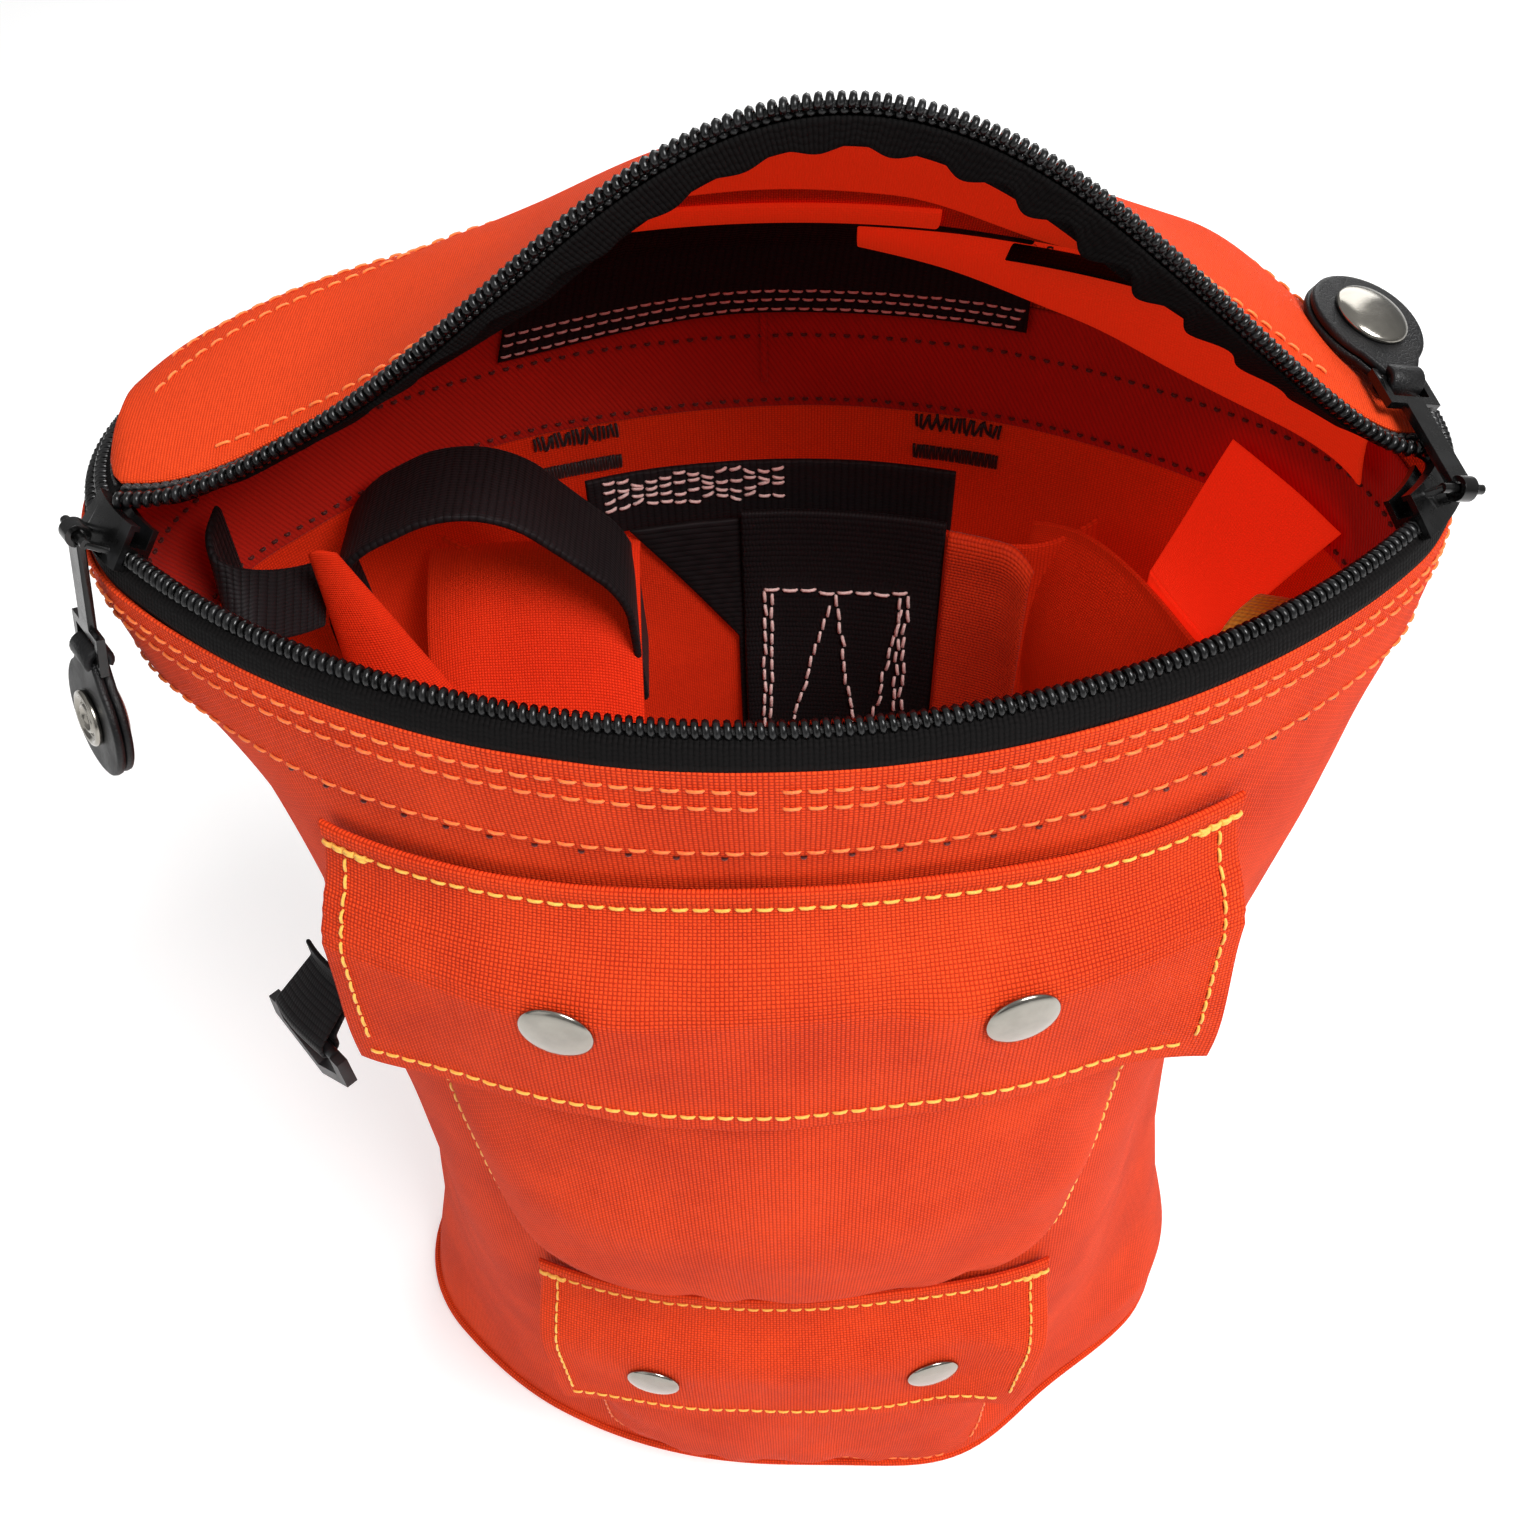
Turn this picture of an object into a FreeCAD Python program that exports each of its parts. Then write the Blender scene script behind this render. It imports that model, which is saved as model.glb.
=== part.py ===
"""Zip-topped oval tool bucket bag with two snap-flap front pockets and a sewn-in organizer.

Millimetres. X runs to the right, Y to the back, Z up; the origin is the centre of the base.
The bag's plan is an oval of four tangent arcs: two small ones at the ends, two large ones front and back.
A ring section is drawn in (s, z): s is the distance outside the oval, z the height.
"""
import FreeCAD
import Part
import os
from math import asin, atan2, cos, degrees, hypot, radians, sin, sqrt, tan

V = FreeCAD.Vector
Z_AXIS = V(0, 0, 1)
X_AXIS = V(1, 0, 0)

# ---- driving dimensions of the bag ----
HALF_X = 130.0
HALF_Y = 79.0
END_R = 45.0
RIM_Z = 361.0
WALL = 1.6
WALL_TOP = 353.0
GAP = 0.1

# ---- plan of the oval, worked out ----
END_X = HALF_X - END_R
SIDE_R = (END_X ** 2 + HALF_Y ** 2 - END_R ** 2) / (2 * (HALF_Y - END_R))
SIDE_Y = SIDE_R - HALF_Y
SIDE_HALF = degrees(atan2(END_X, SIDE_Y))
END_HALF = 90.0 - SIDE_HALF
RIGHT_C = V(END_X, 0, 0)
LEFT_C = V(-END_X, 0, 0)
FRONT_C = V(0, SIDE_Y, 0)
BACK_C = V(0, -SIDE_Y, 0)

# ---- zip: the section is tilted 45 degrees between the upright wall and the flat lid ----
ZIP_S = -4.0
COIL_HALF = 1.1
COIL_IN = 0.9
COIL_OUT = 2.9
TAPE_HALF = 0.4
ZIP_END_X = 57.0

# ---- lid ----
ARCH_H = 66.0
ARCH_X = 112.0
ARCH_PEAK_X = 10.0
ARCH_RIGHT = 105.0
ARCH_RIGHT_POWER = 1.3
ARCH_LEFT = 124.0
ARCH_LEFT_POWER = 2.1
ARCH_Y = -19.0
LID_Z = 365.6
LID_T = 1.6
LID_INSET = 12.0
LID_STATIONS = (-ARCH_X, -100, -82, -62, -42, -18, 8, 32, 56, 80, 98, ARCH_X)
LID_PROFILE = ((0.0, 1.0), (0.3, 0.74), (0.6, 0.46), (0.85, 0.17), (1.0, 0.0))
LID_FRONT = 12.2
HINGE_STRIP_X = 54.0

# ---- front pockets and flaps; turn is how far each sits round the front to the right, in degrees ----
UPPER = {"turn": 0.4, "top": 296.2, "bottom": 146.0, "half_top": 88.0, "half_bottom": 66.0,
         "bulge": ((296.2, 7.0), (262.0, 9.0), (205.0, 17.0), (170.0, 14.0), (146.0, 2.2))}
LOWER = {"turn": 0.4, "top": 120.0, "bottom": 12.0, "half_top": 66.0, "half_bottom": 60.0,
         "bulge": ((120.0, 7.0), (95.0, 8.5), (60.0, 10.5), (30.0, 9.0), (12.0, 2.2))}
UPPER_FLAP = {"turn": 0.4, "top": 314.0, "bottom": 258.0, "half": 90.0, "cap_x": 40.5, "cap_z": 290.5}
LOWER_FLAP = {"turn": 0.4, "top": 139.0, "bottom": 85.0, "half": 69.0, "cap_x": 36.0, "cap_z": 108.0}
POCKET_SKIN = 1.4
FLAP_T = 1.4
CAP_R = 7.5

# ---- sliders, pullers and leather tabs ----
SLIDER_REST = 38.0
SLIDER_HALF = 10.0
BAIL_HALF = 4.0
PULLER_LEN = 26.0
LEFT_TILT = 14.0
RIGHT_RISE = 12.0
RIGHT_ROLL = 16.0
RIGHT_TURN = 12.0
TAB_CAP = 15.0
TAB_R = 12.0
TAB_T = 3.4

# ---- organizer and straps inside ----
ROW_S = -30.0
ROW_TOP = 300.0
ROW_BOTTOM = 150.0
ROW_HALF = 70.0
DIVIDER_ANGLE = 12.0
BOX_STITCH_X = (-7.0, 43.0)
BOX_STITCH_Z = (176.0, 306.0)
BAND_X = (43.5, 66.0)
BAND_Z = (176.0, 303.0)
DIAGONAL_XZ = ((-34, 302), (-8, 302), (-8, 215), (-14, 215))
LEFT_LOOP_XZ = ((-36, 262), (-36, 316), (-84, 322), (-92, 232))
LEFT_LOOP_Y = (4.0, 40.0)
LEFT_END_Z = (292.0, 336.0)
LEFT_END_ANGLES = (-24.0, 30.0)
FOLD_XZ = ((-110, 262), (-106, 322), (-96, 262))
FOLD_Y = (-22.0, 6.0)
YELLOW_XZ = ((98, 262), (101, 320), (112, 320), (116, 262))
YELLOW_Y = (-24.0, 1.0)
POUCH_Z = (200.0, 296.0, 312.0)
POUCH_ANGLES = (8.0, 58.0)

# ---- webbing and hardware outside ----
LOOP_X = 48.0
LOOP_TOP = 314.0
LOOP_BOTTOM = 214.0
LOOP_W = 25.0
LOOP_STAND = 11.0
CENTRE_STRAP_Z = (40.0, 334.0)
TACK_Z = (302.5, 311.0)
RING_Z = 203.0
RING_A = 45.0


def solid_list(shape):
    """Every solid of a shape as one compound."""
    return Part.makeCompound(shape.Solids)


def fused(pieces):
    """One shape from touching pieces."""
    out = pieces[0]
    for piece in pieces[1:]:
        out = out.fuse(piece)
    return out.removeSplitter()


def poly_face(points):
    """Flat face through 3D points."""
    return Part.Face(Part.makePolygon([V(*p) for p in points] + [V(*points[0])]))


def turned(section, centre, radius, start, end):
    """Revolves an (s, z) section about a vertical axis, from angle start to end in degrees."""
    face = poly_face([(radius + s, 0, z) for s, z in section])
    solid = face.revolve(V(0, 0, 0), Z_AXIS, end - start)
    solid.rotate(V(0, 0, 0), Z_AXIS, start)
    solid.translate(centre)
    return solid


def right_end(section, start, end):
    return turned(section, RIGHT_C, END_R, start, end)


def left_end(section, start, end):
    return turned(section, LEFT_C, END_R, 180 + start, 180 + end)


def front(section, start=-SIDE_HALF, end=SIDE_HALF):
    return turned(section, FRONT_C, SIDE_R, 270 + start, 270 + end)


def back(section, start=-SIDE_HALF, end=SIDE_HALF):
    return turned(section, BACK_C, SIDE_R, 90 + start, 90 + end)


def front_half(section):
    return fused([left_end(section, 0, END_HALF), front(section), right_end(section, -END_HALF, 0)])


def back_half(section):
    return fused([right_end(section, 0, END_HALF), back(section), left_end(section, -END_HALF, 0)])


def oval_ring(section):
    return fused([front_half(section), back_half(section)])


def box_section(s0, s1, z0, z1):
    return [(s0, z0), (s1, z0), (s1, z1), (s0, z1)]


def oval_plate(inset, z0, z1):
    """Solid oval plate whose edge is inset from the bag's outside."""
    r_end = END_R - inset
    r_side = SIDE_R - inset
    tx = END_X + r_end * cos(radians(END_HALF))
    ty = r_end * sin(radians(END_HALF))
    edges = [
        Part.Arc(V(-tx, -ty, z0), V(0, SIDE_Y - r_side, z0), V(tx, -ty, z0)).toShape(),
        Part.Arc(V(tx, -ty, z0), V(END_X + r_end, 0, z0), V(tx, ty, z0)).toShape(),
        Part.Arc(V(tx, ty, z0), V(0, r_side - SIDE_Y, z0), V(-tx, ty, z0)).toShape(),
        Part.Arc(V(-tx, ty, z0), V(-END_X - r_end, 0, z0), V(-tx, -ty, z0)).toShape(),
    ]
    return Part.Face(Part.Wire(edges)).extrude(V(0, 0, z1 - z0))


def side_angle(x, radius=SIDE_R):
    """Angle along the front or back arc at which the arc is x away from the middle."""
    return degrees(asin(x / radius))


# ---- bag body ----

def make_front_panel():
    return front_half(box_section(-WALL, 0, 0, WALL_TOP))


def make_back_panel():
    return back_half(box_section(-WALL, 0, 0, WALL_TOP))


def make_base_panel():
    return oval_plate(WALL + GAP, 0, 2.0)


def make_base_board():
    return oval_plate(WALL + 3.5, 2.0 + GAP, 4.6)


def make_base_binding():
    return oval_ring(box_section(-WALL - 1.4, -WALL - GAP, 2.0 + GAP, 13.0))


def make_side_seam_tapes():
    section = box_section(-WALL - 1.2, -WALL - GAP, 14.0, 320.0)
    return Part.makeCompound([left_end(section, -7, 7), right_end(section, -7, 7)])


def make_rim_facings():
    section = box_section(-WALL - 1.4, -WALL - GAP, 322.0, 346.0)
    return front_half(section), back_half(section)


def zip_point(u, v):
    """(s, z) of a point of the tilted zip section: u out of the zip, v from the lid side to the wall side."""
    return ZIP_S + (u + v) / sqrt(2), RIM_Z + (u - v) / sqrt(2)


def coil_section(side):
    """Section of one half of the zip coil; side is 1 for the wall's half and -1 for the lid's."""
    return [zip_point(u, side * v) for u, v in
            ((-COIL_HALF, COIL_IN), (COIL_HALF, COIL_IN), (COIL_HALF, COIL_OUT), (-COIL_HALF, COIL_OUT))]


def bottom_tape_section():
    foot = -0.95
    return [zip_point(TAPE_HALF, 3.0), zip_point(TAPE_HALF, 5.2), (-0.04, WALL_TOP + GAP),
            (foot, WALL_TOP + GAP), (foot, 357.4), zip_point(-TAPE_HALF, 3.0)]


def notch(end_piece):
    """Room in the oval at the right slider, which lifts away with the lid."""
    a = SLIDER_REST
    cut = turned(box_section(-9, 4, WALL_TOP + 0.05, 372), RIGHT_C, END_R, -a - SLIDER_HALF - 1, -a + SLIDER_HALF + 1)
    return end_piece.cut(cut)


def make_bottom_tape():
    return solid_list(notch(oval_ring(bottom_tape_section())))


def make_bottom_coil():
    section = coil_section(1)
    a = side_angle(ZIP_END_X)
    parts = [back(section, -SIDE_HALF, -a), right_end(section, 0, END_HALF), right_end(section, -END_HALF, 0),
             front(section), left_end(section, 0, END_HALF), left_end(section, -END_HALF, 0),
             back(section, a, SIDE_HALF)]
    return solid_list(notch(fused(parts)))


def make_zip_end_tabs():
    """Folded ends of the zip, turned out over the wall's top behind the lid."""
    a = side_angle(ZIP_END_X)
    section = box_section(0.3, 1.9, 344, 356)
    return Part.makeCompound([back(section, a - 5, a - 1), back(section, 1 - a, 5 - a)])


def make_hinge_strip():
    """Webbing sewn inside the back wall; its upper edge carries the lid."""
    a = side_angle(HINGE_STRIP_X)
    return back(box_section(-WALL - 3.0, -WALL - 1.5, 339.0, 362.0), -a, a)


def flap_hem(flap):
    """Rolled, stitched-down top edge of a flap, fixed to the bag."""
    a = side_angle(flap["half"])
    top = flap["top"]
    return front(box_section(GAP, 2.4, top - 1.5, top + 4.0), -a, a)


# ---- pockets ----

def taper_block(half_top, half_bottom, top, bottom):
    """Block, tall and deep, with a width that runs from half_top at top to half_bottom at bottom."""
    slope = (half_top - half_bottom) / (top - bottom)
    over = 60.0
    wide = half_top + slope * over
    narrow = half_bottom - slope * over
    face = poly_face([(-wide, -200, top + over), (wide, -200, top + over),
                      (narrow, -200, bottom - over), (-narrow, -200, bottom - over)])
    return face.extrude(V(0, 200, 0))


def make_pocket(p):
    """Bulging three-sided pocket, open at the top, whose back is the bag's wall."""
    skin = POCKET_SKIN
    outer = [(GAP, z) for z in (p["bottom"], p["top"])] + [(s, z) for z, s in p["bulge"]]
    inner = [(-1.0, p["bottom"] + skin), (-1.0, p["top"] + 9)]
    inner += [(p["bulge"][0][1] - skin, p["top"] + 9)]
    inner += [(max(s - skin, 0.8), z + (skin if z == p["bottom"] else 0)) for z, s in p["bulge"]]
    body = front(outer).common(taper_block(p["half_top"], p["half_bottom"], p["top"], p["bottom"]))
    hollow = front(inner).common(
        taper_block(p["half_top"] - skin, p["half_bottom"] - skin, p["top"], p["bottom"]))
    return body.cut(hollow)


def pocket_offset(p, z):
    """How far the pocket's outside stands off the wall at height z."""
    points = p["bulge"]
    for (z1, s1), (z0, s0) in zip(points, points[1:]):
        if z0 <= z <= z1:
            return s0 + (s1 - s0) * (z - z0) / (z1 - z0)
    return 0.0


def make_pocket_hem(p):
    """Turned hem round the pocket's mouth, just outside the skin."""
    a = side_angle(p["half_top"] - 6)
    s = p["bulge"][0][1]
    lean = (pocket_offset(p, p["top"] - 9) - s) / 9
    return front([(s + GAP, p["top"]), (s + GAP + 9 * lean, p["top"] - 9),
                  (s + 0.9 + 9 * lean, p["top"] - 9), (s + 0.9, p["top"])], -a, a)


def on_front(shape, x, z, stand):
    """Moves a shape built about +Z at the origin to the bag's front, standing off the wall by stand."""
    a = side_angle(x)
    shape.rotate(V(0, 0, 0), X_AXIS, 90)
    shape.translate(V(0, -SIDE_R - stand, z))
    shape.rotate(V(0, 0, 0), Z_AXIS, a)
    shape.translate(FRONT_C)
    return shape


def each_side(make, flap):
    """The same shape at the left and the right snap."""
    return Part.makeCompound([make(-flap["cap_x"]), make(flap["cap_x"])])


def stud_at(flap, p):
    base = pocket_offset(p, flap["cap_z"]) + 1.3

    def make(x):
        disc = Part.makeCylinder(5.2, 0.9)
        post = Part.makeCylinder(1.9, 2.3)
        return on_front(disc.fuse(post), x, flap["cap_z"], base)
    return make


def socket_at(flap, p):
    base = pocket_offset(p, flap["cap_z"]) + 2.8

    def make(x):
        outer = Part.makeCylinder(5.4, 1.3)
        hole = Part.makeCylinder(2.9, 0.95)
        return on_front(outer.cut(hole), x, flap["cap_z"], base)
    return make


def cap_at(flap, p):
    base = pocket_offset(p, flap["cap_z"]) + 4.35 + FLAP_T + 0.1

    def make(x):
        return on_front(snap_cap(), x, flap["cap_z"], base)
    return make


def snap_cap():
    """Domed snap cap, flat side down on z = 0."""
    profile = [(0.0, 0.0), (1.0, 0.0), (1.0, 0.5), (0.9, 1.1), (0.7, 1.65), (0.4, 2.05), (0.12, 2.2), (0.0, 2.2)]
    face = poly_face([(CAP_R * r, 0, z) for r, z in profile])
    return face.revolve(V(0, 0, 0), Z_AXIS, 360)


def make_flap(flap, p):
    """Hanging flap: starts just off the wall under its sewn top edge and stands off over the pocket."""
    a = side_angle(flap["half"])
    top = flap["top"] - 2.0
    mouth = p["top"]
    low = flap["bottom"]
    near = pocket_offset(p, flap["cap_z"]) + 4.25
    inner = [(0.9, top), (max(near - 1.2, 6.5), mouth), (near, flap["cap_z"] + 8), (near, flap["cap_z"] - 8),
             (near + 0.4, low)]
    outer = [(s + FLAP_T, z) for s, z in reversed(inner)]
    return front(inner + outer, -a, a)


# ---- organizer inside ----

def make_organizer_panel():
    """Row panel of the organizer: stands off the back wall, with returns at both ends and a sewn foot."""
    a = side_angle(ROW_HALF, SIDE_R + ROW_S)
    skin = 1.4
    outer = back([(ROW_S, ROW_BOTTOM + 22), (ROW_S, ROW_TOP), (-WALL - GAP, ROW_TOP), (-WALL - GAP, ROW_BOTTOM)], -a, a)
    d = degrees(skin / (SIDE_R + ROW_S))
    inner = back([(ROW_S + skin, ROW_BOTTOM + 23), (ROW_S + skin, ROW_TOP + 9), (0, ROW_TOP + 9),
                  (0, ROW_BOTTOM + skin), (-WALL - GAP, ROW_BOTTOM + skin)], -a + d, a - d)
    return outer.cut(inner)


def make_organizer_dividers():
    """Two upright webs that split the row into three tool pockets."""
    web = box_section(ROW_S + 1.5, -WALL - GAP - 0.1, ROW_BOTTOM + 26, ROW_TOP - 12)
    return Part.makeCompound([back(web, a - 0.3, a + 0.3) for a in (-DIVIDER_ANGLE, DIVIDER_ANGLE)])


def strip_on_row(x0, x1, z0, z1, s0, s1):
    """Strip of webbing on the face of the organizer, from x0 to x1."""
    r = SIDE_R + ROW_S
    return back(box_section(ROW_S - s1, ROW_S - s0, z0, z1), -side_angle(x1, r), -side_angle(x0, r))


def make_box_stitch_webbing():
    return strip_on_row(*BOX_STITCH_X, *BOX_STITCH_Z, GAP, 1.7)


def make_orange_band():
    return strip_on_row(*BAND_X, *BAND_Z, GAP, 2.4)


def make_diagonal_webbing():
    """Webbing that slants across behind the left edge of the box-stitched strip."""
    face = poly_face([(x, 0, z) for x, z in DIAGONAL_XZ])
    r = SIDE_R + ROW_S
    return face.extrude(V(0, 1.4, 0)).translated(V(0, r - SIDE_Y - 7.4, 0))


def bent_strip(points, radius, thickness, y0, y1):
    """Strip of webbing bent along points in X and Z with rounded corners, and as wide as y0 to y1."""
    path = [V(x, y0, z) for x, z in points]
    edges = []
    last = path[0]
    for before, corner, after in zip(path, path[1:], path[2:]):
        a = (before - corner).normalize()
        b = (after - corner).normalize()
        half = a.getAngle(b) / 2
        cut = radius / tan(half)
        middle = (a + b).normalize()
        centre = corner + middle * (radius / sin(half))
        start = corner + a * cut
        end = corner + b * cut
        edges.append(Part.makeLine(last, start))
        edges.append(Part.Arc(start, centre - middle * radius, end).toShape())
        last = end
    edges.append(Part.makeLine(last, path[-1]))
    ribbon = Part.Wire(edges).extrude(V(0, y1 - y0, 0))
    return ribbon.makeOffsetShape(thickness, 0.01, fill=True)


def make_left_loop_webbing():
    """Loop of wide webbing that stands up out of the left of the organizer."""
    return bent_strip(LEFT_LOOP_XZ, 15, 1.6, *LEFT_LOOP_Y)


def make_left_end_webbing():
    return left_end(box_section(-9.0, -7.4, *LEFT_END_Z), *LEFT_END_ANGLES)


def make_orange_fold():
    """Small fold of body cloth that stands against the left end."""
    return bent_strip(FOLD_XZ, 4, 1.2, *FOLD_Y)


def make_yellow_loop():
    """Loop of yellow webbing at the right end."""
    return bent_strip(YELLOW_XZ, 5, 1.4, *YELLOW_Y)


def make_right_pouch():
    """Soft pouch sewn beside the organizer at the right end."""
    low, front_top, back_top = POUCH_Z
    start, end = POUCH_ANGLES
    front_s = -26.0
    back_s = -5.5
    skin = 1.6
    above = 340.0
    shell = turned([(front_s, low), (front_s, front_top), (back_s, back_top), (back_s, low)],
                   RIGHT_C, END_R, start, end)
    hollow = turned(box_section(front_s + skin, back_s - skin, low + skin, above), RIGHT_C, END_R, start + 2, end - 2)
    return shell.cut(hollow)


# ---- webbing and hardware outside ----

def belt_loop(x):
    """Upright webbing loop on the back wall, sewn down at both ends."""
    half = degrees(LOOP_W / 2 / SIDE_R)
    a = side_angle(x)
    out = LOOP_STAND + 1.6
    outer = [(GAP, LOOP_TOP), (1.7, LOOP_TOP), (out, LOOP_TOP - 18), (out, LOOP_BOTTOM + 18), (1.7, LOOP_BOTTOM),
             (GAP, LOOP_BOTTOM)]
    inner = [(GAP - 0.2, LOOP_TOP - 12), (1.6, LOOP_TOP - 12), (LOOP_STAND, LOOP_TOP - 24),
             (LOOP_STAND, LOOP_BOTTOM + 24), (1.6, LOOP_BOTTOM + 12), (GAP - 0.2, LOOP_BOTTOM + 12)]
    return back(outer, -a - half, -a + half).cut(back(inner, -a - half - 1, -a + half + 1))


def make_back_centre_webbing():
    half = degrees(LOOP_W / 2 / SIDE_R)
    return back(box_section(GAP, 1.7, *CENTRE_STRAP_Z), -half, half)


def make_bar_tacks():
    """Dense thread bars: through the back wall at the loops' tops, seen inside, and at the flap corners."""
    tacks = []
    for x in (-LOOP_X, LOOP_X):
        half = degrees(11 / SIDE_R)
        a = side_angle(x)
        tacks += [back(box_section(-WALL - 0.9, -WALL - GAP, z, z + 2.2), -a - half, -a + half) for z in TACK_Z]
    for flap in (UPPER_FLAP, LOWER_FLAP):
        a = side_angle(flap["half"] - 3)
        ends = [flap["turn"] - a, flap["turn"] + a]
        tacks += [front(box_section(2.45, 3.2, flap["top"] - 0.6, flap["top"] + 0.6), b - 1.4, b + 1.4)
                  for b in ends]
    return Part.makeCompound(tacks)


def ring_place(shape):
    """Moves a shape built at the origin, with +X outward, to the left end's ring fixing."""
    shape.rotate(V(0, 0, 0), Z_AXIS, 180 + RING_A)
    shape.translate(LEFT_C + V(END_R * cos(radians(180 + RING_A)), END_R * sin(radians(180 + RING_A)), RING_Z))
    return shape


def make_ring_loop():
    """Webbing folded through the side ring and sewn to the wall."""
    ear = Part.makeBox(1.5, 20, 26, V(0.9, -10, 4))
    tube = Part.makeCylinder(3.4, 20, V(3.6, -10, 6), V(0, 1, 0))
    hole = Part.makeCylinder(1.9, 20.2, V(3.6, -10.1, 6), V(0, 1, 0))
    return ring_place(ear.fuse(tube).cut(hole))


def make_side_ring():
    """Five-sided moulded ring."""
    outer = Part.makePolygon([V(0, -15, 0), V(0, 15, 0), V(0, 16, -9), V(0, 0, -21), V(0, -16, -9), V(0, -15, 0)])
    window = Part.makePolygon([V(0, -11.6, -3), V(0, 11.6, -3), V(0, 11.8, -7.6), V(0, 0, -16.4), V(0, -11.8, -7.6),
                               V(0, -11.6, -3)])
    frame = Part.Face(outer).cut(Part.Face(window)).extrude(V(3.0, 0, 0))
    frame = frame.cut(Part.makeBox(6, 23.2, 6, V(-1, -11.6, -3)))
    bar = Part.makeCylinder(1.5, 24, V(1.5, -12, 0), V(0, 1, 0))
    ring = frame.fuse(bar)
    ring.translate(V(2.1, 0, 6))
    return ring_place(ring.removeSplitter())


# ---- lid ----

def arch_z(x):
    """Height of the lid's raised front edge above its closed level."""
    run = x - ARCH_PEAK_X
    if run > 0:
        return ARCH_H * max(0.0, cos(radians(min(90.0, 90 * run / ARCH_RIGHT)))) ** ARCH_RIGHT_POWER
    return ARCH_H * max(0.0, cos(radians(min(90.0, -90 * run / ARCH_LEFT)))) ** ARCH_LEFT_POWER


def lid_back_y(x):
    """Y of the lid panel's edge along the ends and the back, at x."""
    if abs(x) <= END_X + (END_R - LID_INSET) * cos(radians(END_HALF)):
        return sqrt((SIDE_R - LID_INSET) ** 2 - x ** 2) - SIDE_Y
    return sqrt(max(0.0, (END_R - LID_INSET) ** 2 - (abs(x) - END_X) ** 2))


def lid_section(x):
    """Closed polygon in the plane of x: the lid's upper side, then its lower side."""
    y0 = ARCH_Y + LID_FRONT
    y1 = lid_back_y(x)
    rise = arch_z(x)
    span = y1 - y0
    top = [(y0 + span * t, LID_Z + LID_T + rise * h) for t, h in LID_PROFILE]
    under = []
    for i, (y, z) in enumerate(top):
        y_a, z_a = top[max(i - 1, 0)]
        y_b, z_b = top[min(i + 1, len(top) - 1)]
        d = hypot(y_b - y_a, z_b - z_a)
        under.append((y + LID_T * (z_b - z_a) / d, z - LID_T * (y_b - y_a) / d))
    return Part.makePolygon([V(x, y, z) for y, z in top + under[::-1]] + [V(x, *top[0])])


def make_lid_panel():
    spans = [Part.makeLoft([lid_section(a), lid_section(b)], True, True)
             for a, b in zip(LID_STATIONS, LID_STATIONS[1:])]
    return fused(spans)


def arch_strip(thickness, y0, y1, drop):
    """Strip that follows the lid's raised front edge."""
    def curve(lift):
        spline = Part.BSplineCurve()
        spline.interpolate([V(x, y0, LID_Z + lift + arch_z(x)) for x in LID_STATIONS])
        return spline.toShape()
    low = curve(drop)
    high = curve(drop + thickness)
    sides = [Part.makeLine(low.Vertexes[i].Point, high.Vertexes[i].Point) for i in (0, 1)]
    return Part.Face(Part.Wire(Part.sortEdges([low, high] + sides)[0])).extrude(V(0, y1 - y0, 0))


def closed_zip(section):
    """The lid's half of the closed zip: from each slider round the end to the back."""
    a = side_angle(ZIP_END_X)
    start = SLIDER_REST - SLIDER_HALF - 1
    left = fused([left_end(section, -END_HALF, start), back(section, a, SIDE_HALF)])
    right = fused([right_end(section, -start, END_HALF), back(section, -SIDE_HALF, -a)])
    return [left, right]


def make_lid_tape():
    section = [zip_point(TAPE_HALF, -3.0), zip_point(TAPE_HALF, -5.4), (-15.0, 365.3), (-15.0, 364.5),
               zip_point(-TAPE_HALF, -5.2), zip_point(-TAPE_HALF, -3.0)]
    return Part.makeCompound(closed_zip(section) + [arch_strip(0.8, ARCH_Y + 3.1, ARCH_Y + 10.9, 0.4)])


def make_lid_coil():
    return Part.makeCompound(closed_zip(coil_section(-1)) + [arch_strip(2.2, ARCH_Y, ARCH_Y + 3.0, -0.3)])


def make_lid_hem():
    """Folded strip along the lid's back edge, which the hinge webbing is sewn to."""
    a = side_angle(HINGE_STRIP_X - 4)
    return back(box_section(-11.8, -5.0, 363.0, 364.3), -a, a)


# ---- sliders, pullers and tabs ----

def slider_angle(side):
    """Angle of a slider about its end's centre; side is 1 at the right and -1 at the left."""
    return -SLIDER_REST if side > 0 else 180 + SLIDER_REST


def slider_body(side):
    """Slider in its own place: two plates, the wedge between them at the mouth, and side flanges."""
    a = slider_angle(side)
    centre = RIGHT_C if side > 0 else LEFT_C
    width = 4.4

    def block(u0, u1, v0, v1, a0, a1):
        section = [zip_point(u0, v0), zip_point(u1, v0), zip_point(u1, v1), zip_point(u0, v1)]
        return turned(section, centre, END_R, a + a0, a + a1)

    mouth = (-SLIDER_HALF, -SLIDER_HALF + 3.5) if side > 0 else (SLIDER_HALF - 3.5, SLIDER_HALF)
    return fused([
        block(1.7, 2.9, -width, width, -SLIDER_HALF, SLIDER_HALF),
        block(-2.9, -1.7, -width, width, -SLIDER_HALF, SLIDER_HALF),
        block(-1.7, 1.7, -0.5, 0.5, *mouth),
        block(0.9, 1.7, 3.4, width, -SLIDER_HALF, SLIDER_HALF),
        block(0.9, 1.7, -width, -3.4, -SLIDER_HALF, SLIDER_HALF),
    ])


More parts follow.
